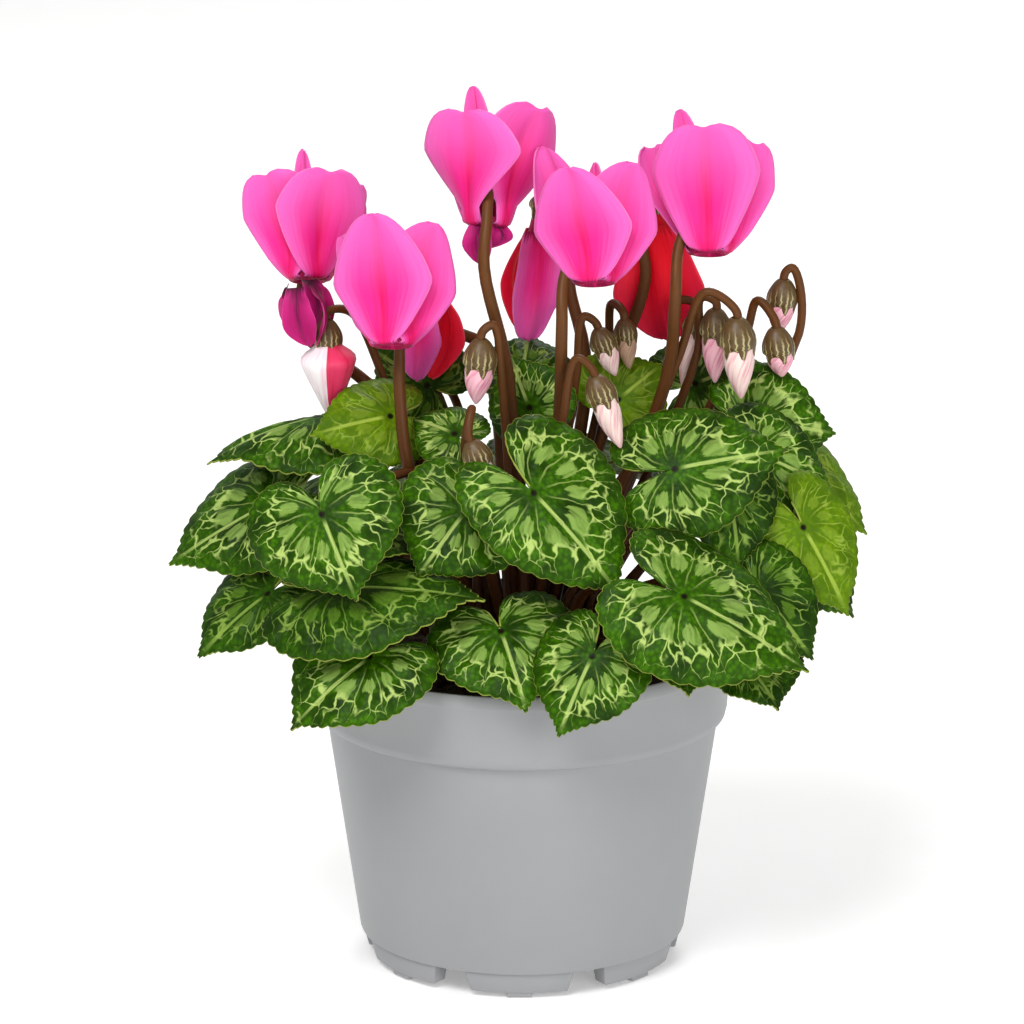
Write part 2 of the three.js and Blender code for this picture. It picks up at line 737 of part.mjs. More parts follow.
// Where the petals meet the green cap, their tip, the cap's radius, the path of the hooked stalk, and how
// much wider than the cap a bud swells before it opens.
const BUDS = [
  {
    name: "big_left", base: [-54, -6, 181], tip: [-56, -6, 159], radius: 4,
    hook: [[-38, 4, 165], [-48, 0, 188]], swell: 2.1,
  },
  {
    name: "centre", base: [-12, -24, 179], tip: [-13, -24, 168], radius: 4.6,
    hook: [[-6, -22, 176], [-8, -23, 190]],
  },
  {
    name: "low", base: [-12, -46, 157], tip: [-9, -46, 149], radius: 4,
    hook: [[-16, -34, 156], [-14, -42, 171]],
  },
  {
    name: "front", base: [22, -34, 172], tip: [27, -34, 158], radius: 4.2,
    hook: [[11, -31, 164], [15, -33, 183]],
  },
  {
    name: "back_centre", base: [23, -4, 179], tip: [26, -4, 171], radius: 3.6,
    hook: [[15, -4, 170], [17, -5, 188]],
  },
  {
    name: "faded", base: [29, 0, 181], tip: [30, 0, 172], radius: 3.2,
    hook: [[24, 10, 172], [25, 6, 189]],
  },
  {
    name: "right_inner", base: [54, -4, 183], tip: [54, -4, 169], radius: 4.4,
    hook: [[49, -1, 176], [50, -3, 193]],
  },
  {
    name: "right_front", base: [60, -14, 182], tip: [61, -14, 167], radius: 5,
    hook: [[43, -10, 176], [51, -13, 197]],
  },
  {
    name: "right_top", base: [73, 8, 189], tip: [72, 8, 180], radius: 4.2,
    hook: [[78, 8, 180], [76, 8, 199]],
  },
  {
    name: "right_outer", base: [72, -1, 177], tip: [73, -1, 170], radius: 4.4,
    hook: [[62, 4, 178], [66, 2, 191]],
  },
  { name: "pale", base: [48, 4, 182], tip: [45, 4, 166], radius: 3.2, hook: [[42, 6, 176], [44, 6, 190]] },
];
const BUD_SIDES = 6;

function budAxis(bud) {
  return vec(...bud.tip).sub(vec(...bud.base)).normalize();
}

// Furled petals: a cone with a slight turn to the right.
function budGeometry(bud) {
  const axis = budAxis(bud);
  const length = vec(...bud.tip).distanceTo(vec(...bud.base));
  const swell = bud.swell ?? 1;
  const rings = [
    [0, 0.86],
    [0.3, 0.82 * swell],
    [0.68, 0.52 * swell],
    [1, 0.16],
  ];
  const centres = rings.map(([t]) => offset(vec(...bud.base), [axis, GAP + t * length]));
  return geometryOf(tubeSolid(centres, rings.map(([, r]) => r * bud.radius), BUD_SIDES));
}

function budStalkSolid(bud) {
  const axis = budAxis(bud);
  const base = vec(...bud.base);
  const tall = bud.radius * 1.7;
  const cap = tubeSolid(
    [0, 0.4, 1].map((t) => offset(base, [axis, -t * tall])),
    [0.94, 1, 0.38].map((r) => r * bud.radius),
    BUD_SIDES,
  );
  const hook = bud.hook.map((p) => vec(...p));
  const knots = [...hook, offset(base, [axis, -tall - 2]), offset(base, [axis, -tall / 2])];
  const centres = smooth([crownPoint(knots[0]), ...knots], 6);
  return union([cap, tubeSolid(centres, centres.map(() => PEDICEL_TOP_RADIUS * 0.9), 4)]);
}

BUDS.forEach((bud) => {
  addMesh(`bud_${bud.name}`, budGeometry(bud), budPink);
  stalkSolids.push(budStalkSolid(bud));
});

// The plant's skeleton: the tuber with every stalk

addMesh("tuber_and_stalks", geometryOf(union(stalkSolids)), stalkSkin);

export default plant;
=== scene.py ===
# %% [markdown]
# # A florist's cyclamen in its nursery pot
# The plant is dressed round a CAD model that already holds its places and sizes: the pot, the peat, the tuber
# with every stalk, 38 leaf blades, 8 flowers and 11 buds. Those solids are plain, so each of them is replaced
# here by a finer piece of the same form, in the same place, with the finish of the living plant.
# Lengths in the tables are millimetres; Blender works in metres, so every point is scaled once, by MM.

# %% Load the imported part
import math
import random

import bmesh
import bpy
from mathutils import Matrix, Vector, noise


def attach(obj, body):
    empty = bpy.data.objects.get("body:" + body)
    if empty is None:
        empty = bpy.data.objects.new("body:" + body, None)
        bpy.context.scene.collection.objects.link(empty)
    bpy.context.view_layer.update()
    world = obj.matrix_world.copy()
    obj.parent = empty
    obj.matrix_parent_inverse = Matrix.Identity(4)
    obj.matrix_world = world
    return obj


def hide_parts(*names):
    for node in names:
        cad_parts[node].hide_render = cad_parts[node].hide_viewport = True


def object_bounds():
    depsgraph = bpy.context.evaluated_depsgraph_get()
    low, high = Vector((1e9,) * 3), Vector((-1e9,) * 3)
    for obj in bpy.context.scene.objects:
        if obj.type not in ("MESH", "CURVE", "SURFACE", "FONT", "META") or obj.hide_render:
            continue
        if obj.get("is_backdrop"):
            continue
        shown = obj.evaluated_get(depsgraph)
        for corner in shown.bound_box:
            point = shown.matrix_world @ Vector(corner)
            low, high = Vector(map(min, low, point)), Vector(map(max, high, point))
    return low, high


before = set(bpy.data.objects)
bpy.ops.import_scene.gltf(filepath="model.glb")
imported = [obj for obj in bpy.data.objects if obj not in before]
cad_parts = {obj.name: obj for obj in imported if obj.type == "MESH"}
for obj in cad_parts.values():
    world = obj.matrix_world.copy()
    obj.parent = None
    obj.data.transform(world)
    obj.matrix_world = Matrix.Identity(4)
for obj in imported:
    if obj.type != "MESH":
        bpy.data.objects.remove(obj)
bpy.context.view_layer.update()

MM = 0.001
UP = Vector((0, 0, 1))
scene = bpy.context.scene
scene.view_settings.view_transform = "Standard"


# %% [markdown]
# ## Camera, light and floor
# The photograph is taken from the front, a little above the pot, with a long lens. The camera stands 1.8 m away
# and looks down by 15.5 degrees. A white room lights everything softly, one large lamp at the upper left gives
# the leaves their gloss, and two weaker ones lift the shadows from the right and from behind.

# %% Camera, light and floor
VIEW_ELEVATION = math.radians(15.5)
VIEW_DISTANCE = 1.8
VIEW_TARGET = Vector((-2.97, 0, 129.9)) * MM
VIEW_HALF_WIDTH = 144.9 * MM
ROOM_LIGHT = 0.42


def in_scene(name, data):
    made = bpy.data.objects.new(name, data)
    scene.collection.objects.link(made)
    return made


camera_data = bpy.data.cameras.new("camera")
camera_data.sensor_width = 36
camera_data.lens = camera_data.sensor_width / 2 * VIEW_DISTANCE / VIEW_HALF_WIDTH
camera = in_scene("camera", camera_data)
backwards = Vector((0, -math.cos(VIEW_ELEVATION), math.sin(VIEW_ELEVATION)))
camera.location = VIEW_TARGET + backwards * VIEW_DISTANCE
camera.rotation_euler = (-backwards).to_track_quat("-Z", "Y").to_euler()
scene.camera = camera
print("lens", round(camera_data.lens, 1), "mm")

for lamp_name, place, size, power in (
    ("key", (-0.5, -1.2, 1.6), 0.9, 25),
    ("fill", (0.75, -1.5, 0.55), 0.9, 9),
    ("back", (0.3, 1.2, 1.3), 0.8, 9),
):
    lamp_data = bpy.data.lights.new(lamp_name, "AREA")
    lamp_data.shape = "DISK"
    lamp_data.size = size
    lamp_data.energy = power
    lamp = in_scene(lamp_name, lamp_data)
    lamp.location = place
    lamp.rotation_euler = (VIEW_TARGET - lamp.location).to_track_quat("-Z", "Y").to_euler()

room = bpy.data.worlds.new("room")
room.use_nodes = True
room.node_tree.nodes["Background"].inputs["Color"].default_value = (1, 1, 1, 1)
room.node_tree.nodes["Background"].inputs["Strength"].default_value = ROOM_LIGHT
scene.world = room


# %% [markdown]
# ## Helpers for the finishes
# Colours are written as the sRGB hex values that one reads off a screen, and Blender's sockets want linear
# light, so one function converts them. Another adds a node with its settings and its links: a value that is an
# output socket becomes a link, and anything else becomes the socket's own value. The last two go through lists
# with it. One adds a row of sums, each under a name that later sums may use. The other lays colours over a ground
# colour, each as strongly as its sum says, and gives the skin its relief.


# %% Colours and nodes
def colour(hex_code):
    channels = [int(hex_code[i : i + 2], 16) / 255 for i in (1, 3, 5)]
    linear = [c / 12.92 if c <= 0.04045 else ((c + 0.055) / 1.055) ** 2.4 for c in channels]
    return (*linear, 1.0)


def finish_named(name, **shader):
    material = bpy.data.materials.new(name)
    material.use_nodes = True
    for socket, value in shader.items():
        material.node_tree.nodes["Principled BSDF"].inputs[socket.replace("_", " ")].default_value = value
    return material


def add(material, kind, inputs=None, **settings):
    node = material.node_tree.nodes.new("ShaderNode" + kind)
    for key, value in settings.items():
        setattr(node, key, value)
    for socket, value in (inputs or {}).items():
        if isinstance(value, bpy.types.NodeSocket):
            material.node_tree.links.new(value, node.inputs[socket])
        else:
            node.inputs[socket].default_value = value
    return node


def work_out(material, known, sums):
    """A sum is its name, its operation and its inputs. SMOOTHSTEP takes a value, where it starts and ends to
    rise, and from what to what."""
    for name, operation, *values in sums:
        kind, setting = ("MapRange", "interpolation_type") if operation == "SMOOTHSTEP" else ("Math", "operation")
        inputs = {i: known[value] if isinstance(value, str) else value for i, value in enumerate(values)}
        known[name] = add(material, kind, inputs, **{setting: operation}).outputs[0]


def paint(material, ground, layers, height=None, strength=0.0, depth=0.0):
    surface = material.node_tree.nodes["Principled BSDF"]
    tone = colour(ground)
    for amount, hex_code in layers:
        tone = add(material, "Mix", {0: amount, 6: tone, 7: colour(hex_code)}, data_type="RGBA").outputs[2]
    material.node_tree.links.new(tone, surface.inputs["Base Color"])
    if height is not None:
        relief = add(material, "Bump", {"Strength": strength, "Distance": depth, "Height": height})
        material.node_tree.links.new(relief.outputs["Normal"], surface.inputs["Normal"])


# %% [markdown]
# ## Floor
# An opal acrylic table lit from below, as product photographers use it: white, matt, with a very faint mottling,
# and glowing a little itself, so that it stays white behind the plant.

# %% Floor
acrylic = finish_named("opal_acrylic_table", Roughness=0.7, Emission_Strength=0.26)
place = add(acrylic, "TexCoord").outputs["Object"]
mottle = add(acrylic, "TexNoise", {"Vector": place, "Scale": 60.0})
paint(acrylic, "#f3f3f2", [(mottle.outputs["Fac"], "#f8f8f7")])

FLOOR_RADIUS = 3


def mesh_in_scene(name, mesh):
    data = bpy.data.meshes.new(name)
    mesh.to_mesh(data)
    mesh.free()
    return in_scene(name, data)


disc = bmesh.new()
bmesh.ops.create_circle(disc, cap_ends=True, segments=64, radius=FLOOR_RADIUS)
floor = mesh_in_scene("floor", disc)
floor.data.materials.append(acrylic)
floor.location.z = -0.2 * MM
floor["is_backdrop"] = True
print("floor", 2 * FLOOR_RADIUS, "m across")


# %% [markdown]
# ## Making pieces
# Almost everything on a plant is a bent sheet: a blade, a petal, the skin of a stalk. So one helper takes a flat
# grid from bmesh, moves each of its points to where a small function says, and merges the points that meet, such
# as the seam of a tube. It also keeps two marks on every point for the finishes to read: "pattern", where the
# point lies on its own leaf or petal, and "reach", how far out it is.


# %% Sheets and pieces
def sheet(mesh, columns, rows, place, material=0):
    pattern = mesh.verts.layers.float_vector.get("pattern") or mesh.verts.layers.float_vector.new("pattern")
    reach = mesh.verts.layers.float.get("reach") or mesh.verts.layers.float.new("reach")
    made = bmesh.ops.create_grid(mesh, x_segments=columns, y_segments=rows, size=0.5)["verts"]
    faces = {face for vert in made for face in vert.link_faces}
    for face in faces:
        face.material_index = material
    for vert in made:
        s, t = vert.co.x + 0.5, vert.co.y + 0.5
        point, mark = place(s, t)
        vert.co = point * MM
        vert[pattern] = mark
        vert[reach] = t
    bmesh.ops.remove_doubles(mesh, verts=made, dist=2e-6)


def piece(name, mesh, materials, node, thickness=0.0, under=0, upwards=None):
    bmesh.ops.recalc_face_normals(mesh, faces=mesh.faces)
    if upwards and sum((f.normal * f.calc_area() for f in mesh.faces), Vector()).dot(upwards) < 0:
        bmesh.ops.reverse_faces(mesh, faces=mesh.faces)
    made = mesh_in_scene(name, mesh)
    made.data.shade_smooth()
    for material in materials:
        made.data.materials.append(material)
    if thickness:
        solid = made.modifiers.new("thickness", "SOLIDIFY")
        solid.thickness = thickness * MM
        solid.offset = 0
        solid.material_offset = under
    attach(made, "root")
    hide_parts(node)
    return made


def polar(radius, degrees, z):
    turn = math.radians(degrees)
    return Vector((radius * math.cos(turn), radius * math.sin(turn), z))


ANY_SIDE = Vector((0.31, 0.95, 0.05))


def square_to(axis, direction=ANY_SIDE):
    return (direction - axis * direction.dot(axis)).normalized()


def circled(side, other, s):
    turn = 2 * math.pi * s
    return side * math.cos(turn) + other * math.sin(turn)


def smoothstep(x, low, high):
    x = min(1.0, max(0.0, (x - low) / (high - low)))
    return x * x * (3 - 2 * x)


# %% [markdown]
# ## Smooth curves
# Two kinds of curve run through points that were chosen one by one: outlines in a plane, and stalks in space. The
# stalks use the centripetal form of the Catmull-Rom curve, which makes no loops at close points. A tube is a
# sheet wrapped round such a curve, its two ends drawn together.


# %% Curves and tubes
def outline_at(points, t):
    where = t * (len(points) - 1)
    k = min(int(where), len(points) - 2)
    w = where - k
    p = [Vector(points[min(max(k + i, 0), len(points) - 1)]) for i in (-1, 0, 1, 2)]
    out, back = (p[2] - p[0]) / 2, (p[3] - p[1]) / 2
    cubic = (2 * p[1] - 2 * p[2] + out + back) * w**3 + (-3 * p[1] + 3 * p[2] - 2 * out - back) * w**2
    return cubic + out * w + p[1]


def stalk_curve(knots, steps):
    knots = [Vector(k) for k in knots]
    ends = [2 * knots[0] - knots[1], *knots, 2 * knots[-1] - knots[-2]]
    points = []
    for i in range(steps + 1):
        where = i / steps * (len(knots) - 1)
        k = min(int(where), len(knots) - 2)
        w = where - k
        p = ends[k : k + 4]
        d = [max((b - a).length ** 0.5, 1e-4) for a, b in zip(p, p[1:])]
        out = ((p[1] - p[0]) / d[0] - (p[2] - p[0]) / (d[0] + d[1]) + (p[2] - p[1]) / d[1]) * d[1]
        back = ((p[2] - p[1]) / d[1] - (p[3] - p[1]) / (d[1] + d[2]) + (p[3] - p[2]) / d[2]) * d[1]
        cubic = (2 * p[1] - 2 * p[2] + out + back) * w**3 + (-3 * p[1] + 3 * p[2] - 2 * out - back) * w**2
        points.append(cubic + out * w + p[1])
    return points


def tube(mesh, centres, radii, sides):
    last = len(centres) - 1
    frames = []
    side = square_to((centres[1] - centres[0]).normalized())
    for j, centre in enumerate(centres):
        tangent = (centres[min(j + 1, last)] - centres[max(j - 1, 0)]).normalized()
        side = square_to(tangent, side)
        frames.append((centre, side, tangent.cross(side)))
    rows = last + 2

    def place(s, t):
        row = round(t * rows)
        j = min(max(row - 1, 0), last)
        centre, side, other = frames[j]
        radius = 0.0 if row in (0, rows) else radii[j]
        return centre + circled(side, other, s) * radius, (s, j / last, 0)

    sheet(mesh, sides, rows, place)


# %% [markdown]
# ## Pot
# A nursery pot of grey polypropylene, moulded and not polished, so it has a satin skin with an even fine grain.
# It is a turned shape, so its profile is spun round the upright axis. The profile has the thin lip, the wide
# collar with its step, the plain wall, and the rounded edge over the feet.

# %% Pot finish
plastic = finish_named("grey_polypropylene", Roughness=0.46, IOR=1.49)
place = add(plastic, "TexCoord").outputs["Object"]
cloud = add(plastic, "TexNoise", {"Vector": place, "Scale": 22.0, "Detail": 3.0})
# The grain of the mould is about 0.3 mm, drawn at 0.6 mm so that it shows.
grain = add(plastic, "TexNoise", {"Vector": place, "Scale": 1 / (0.6 * MM)})
paint(plastic, "#8b8c8e", [(cloud.outputs["Fac"], "#97989a")], grain.outputs["Fac"], 0.12, 0.1 * MM)
print("pot finish:", len(plastic.node_tree.nodes), "nodes")

# %% [markdown]
# The shell is one closed profile, spun all the way round. The drain holes in its floor are cut by a boolean with
# short cylinders, and the result is kept as plain mesh data, so that no modifier is left to wait for.

# %% Pot shape
POT_HEIGHT = 93.3
RIM_RADIUS = 60.0
POT_WALL = 1.3
COLLAR_BASE = 70.8
WALL_TOP_RADIUS = 55.8
WALL_BASE_RADIUS = 46.6
FEET_TOP = 7.3
FEET = 7
FOOT_PITCH_DEG = 360 / FEET
FIRST_FOOT_DEG = -91.2
DRAIN_RADIUS = 4.0
DRAIN_RING = 27.0
POT_STEPS = 144
SHARP = math.radians(40)

POT_PROFILE = [(0.4, FEET_TOP)]
for corner_radius, corner_z, offsets in (
    (WALL_BASE_RADIUS, FEET_TOP, ((-1.2, 0), (-0.35, 0.35), (0, 1.2))),
    (WALL_TOP_RADIUS, COLLAR_BASE, ((0, 0), (0.4, 0.3), (1.5, 0.6), (2.1, 1.3), (2.6, 3.4))),
    (RIM_RADIUS, POT_HEIGHT, ((-0.75, -4.6), (-0.2, -4), (0, -3.4), (0, -0.5), (-0.25, -0.1), (-0.65, 0))),
    (RIM_RADIUS, POT_HEIGHT, ((-1.1, -0.15), (-POT_WALL, -0.6))),
    (WALL_TOP_RADIUS - POT_WALL, COLLAR_BASE, ((0, 0),)),
    (WALL_BASE_RADIUS - POT_WALL, FEET_TOP + POT_WALL, ((0, 0.6), (-0.6, 0))),
):
    POT_PROFILE += [(corner_radius + r, corner_z + z) for r, z in offsets]
POT_PROFILE.append((0.4, FEET_TOP + POT_WALL))


def turned(mesh, profile, steps, start=0.0, sweep=360.0):
    """Spins a profile of (radius, height) in millimetres about the upright axis."""
    corners = [mesh.verts.new(polar(r, start, z) * MM) for r, z in profile]
    edges = [mesh.edges.new(pair) for pair in zip(corners, corners[1:])]
    bmesh.ops.spin(
        mesh,
        geom=corners + edges,
        cent=(0, 0, 0),
        axis=(0, 0, 1),
        angle=math.radians(sweep),
        steps=steps,
        use_merge=sweep == 360,
    )


pot = bmesh.new()
turned(pot, POT_PROFILE, POT_STEPS)
bmesh.ops.holes_fill(pot, edges=[e for e in pot.edges if e.is_boundary], sides=POT_STEPS + 1)
pot_piece = piece("pot_shell", pot, [plastic], "pot")

drains = bmesh.new()
for i in range(FEET):
    angle = FIRST_FOOT_DEG + (i + 0.5) * FOOT_PITCH_DEG
    bmesh.ops.create_cone(
        drains, cap_ends=True, segments=24, radius1=DRAIN_RADIUS * MM, radius2=DRAIN_RADIUS * MM, depth=6 * MM,
        matrix=Matrix.Translation(polar(DRAIN_RING, angle, FEET_TOP) * MM),
    )
cutter = mesh_in_scene("drains", drains)
cut = pot_piece.modifiers.new("drain holes", "BOOLEAN")
cut.operation = "DIFFERENCE"
cut.object = cutter
bpy.context.view_layer.update()
shown = pot_piece.evaluated_get(bpy.context.evaluated_depsgraph_get())
pot_piece.data = bpy.data.meshes.new_from_object(shown)
pot_piece.modifiers.clear()
pot_piece.data.set_sharp_from_angle(angle=SHARP)
bpy.data.objects.remove(cutter)
print("pot shell", len(pot_piece.data.polygons), "faces")

# %% [markdown]
# ## Feet of the pot
# The wall runs down into seven curved feet with gaps between them, and a small pad stands inside each foot. A
# foot is its section turned through part of a circle, a little narrower at the ground. The feet are a piece of
# their own, made after the cut, so that one bevel rounds all their edges.

# %% Feet
FOOT_SWEEP_DEG = FOOT_PITCH_DEG - 11.5
FOOT_TAPER = 0.09
FOOT_DEPTH = 8.0
FOOT_ROOT = FEET_TOP + 0.4
PAD_HEIGHT = 1.3
PAD_TOP = PAD_HEIGHT + 1
FOOT_SECTION = [
    (WALL_BASE_RADIUS - FOOT_DEPTH, FOOT_ROOT),
    (WALL_BASE_RADIUS - FOOT_DEPTH, PAD_HEIGHT),
    (WALL_BASE_RADIUS - 2.4, PAD_HEIGHT),
    (WALL_BASE_RADIUS - 0.9, FOOT_ROOT),
    (WALL_BASE_RADIUS - FOOT_DEPTH, FOOT_ROOT),
]
PAD_SIZE = Vector((FOOT_DEPTH * 0.5, FOOT_DEPTH * 0.9, PAD_TOP))
PAD_CENTRE = Vector((WALL_BASE_RADIUS - 2.8 - FOOT_DEPTH * 0.25, 0, PAD_TOP / 2))

feet = bmesh.new()
for i in range(FEET):
    middle = FIRST_FOOT_DEG + i * FOOT_PITCH_DEG
    before = set(feet.verts)
    turned(feet, FOOT_SECTION, 14, middle - FOOT_SWEEP_DEG / 2, FOOT_SWEEP_DEG)
    bmesh.ops.remove_doubles(feet, verts=[v for v in feet.verts if v not in before], dist=1e-6)
    foot = [v for v in feet.verts if v not in before]
    bmesh.ops.holes_fill(feet, edges=list({e for v in foot for e in v.link_edges if e.is_boundary}), sides=8)
    for vert in foot:
        if vert.co.z < PAD_TOP * MM:
            off = math.atan2(vert.co.y, vert.co.x) - math.radians(middle)
            off = (off + math.pi) % (2 * math.pi) - math.pi
            vert.co = Matrix.Rotation(-FOOT_TAPER * off, 3, "Z") @ vert.co
    turn = Matrix.Rotation(math.radians(middle), 4, "Z")
    place = turn @ Matrix.Translation(PAD_CENTRE * MM) @ Matrix.Diagonal((*(PAD_SIZE * MM), 1))
    bmesh.ops.create_cube(feet, size=1, matrix=place)
edges = [e for e in feet.edges if e.is_manifold and e.calc_face_angle() > SHARP]
bmesh.ops.bevel(
    feet, geom=edges, offset=0.5 * MM, segments=2, profile=0.5, affect="EDGES", material=-1, clamp_overlap=True
)
piece("pot_feet", feet, [plastic], "pot")
print(FEET, "feet")


# %% [markdown]
# ## Peat
# The pot is filled with peat compost: dark fibres and crumbs of 1 to 4 mm with a few pale bits of bark. The
# surface is a turned disc, roughened by noise, and each crumb is a small lump of a few faces, laid by a seeded
# draw wherever the tuber doesn't stand.

# %% Peat
peat = finish_named("peat_compost", Roughness=0.95)
place = add(peat, "TexCoord").outputs["Object"]
crumbs = add(peat, "TexVoronoi", {"Vector": place, "Scale": 1 / (2.5 * MM)}).outputs
paint(peat, "#1d120b", [(crumbs["Color"], "#4a3020")], crumbs["Distance"], 0.8, MM)

SOIL_TOP = 84.0
CRUMB_DRAWS = 420
TUBER_RADIUS = 21.0
TUBER_HALF_HEIGHT = 10.0
TUBER_CENTRE_Z = 81.5
soil = bmesh.new()
rings = [(r, SOIL_TOP) for r in range(2, 56, 2)]
turned(soil, [(0.3, 9.2), (44.5, 9.6), (53.5, 70.8), (56.0, SOIL_TOP - 2), *reversed(rings), (0.3, SOIL_TOP)], 96)
bmesh.ops.holes_fill(soil, edges=[e for e in soil.edges if e.is_boundary], sides=100)
for vert in soil.verts:
    if vert.co.z > (SOIL_TOP - 1) * MM:
        vert.co.z += 1.6 * MM * (noise.fractal(vert.co / (7 * MM), 1, 2, 3) - 0.1)
draw = random.Random(7)
for _ in range(CRUMB_DRAWS):
    spot = polar(54 * draw.random() ** 0.5, draw.uniform(0, 360), SOIL_TOP + 0.4)
    if spot.xy.length < TUBER_RADIUS:
        continue
    size = draw.uniform(0.6, 2.0)
    turn = Matrix.Rotation(draw.uniform(0, 6), 4, (draw.random(), draw.random(), 1))
    shape = Matrix.Diagonal((size, size * draw.uniform(0.4, 0.9), size * 0.6, 1))
    place = Matrix.Translation(spot * MM) @ turn @ shape
    bmesh.ops.create_icosphere(soil, subdivisions=1, radius=MM, matrix=place)
print("peat surface and crumbs:", len(soil.faces), "faces")
piece("peat_fill", soil, [peat], "soil")


# %% [markdown]
# ## Leaf finish
# A cyclamen blade is firm and slightly glossy, dark green, with silvery patches between the main veins and a
# light net towards the edge. The veins leave the stalk's joint like the fingers of a hand, about 39 degrees
# apart. So the finish works in the blade's own plane, in millimetres along and across it: the angle round the
# joint, folded at each vein, gives the fingers; a noise drawn out along the radius gives the combed patches; and
# a cell pattern gives the net.

# %% Leaf finish
VEIN_SPACING = math.radians(38.8)
VEIN_BEND = 0.22


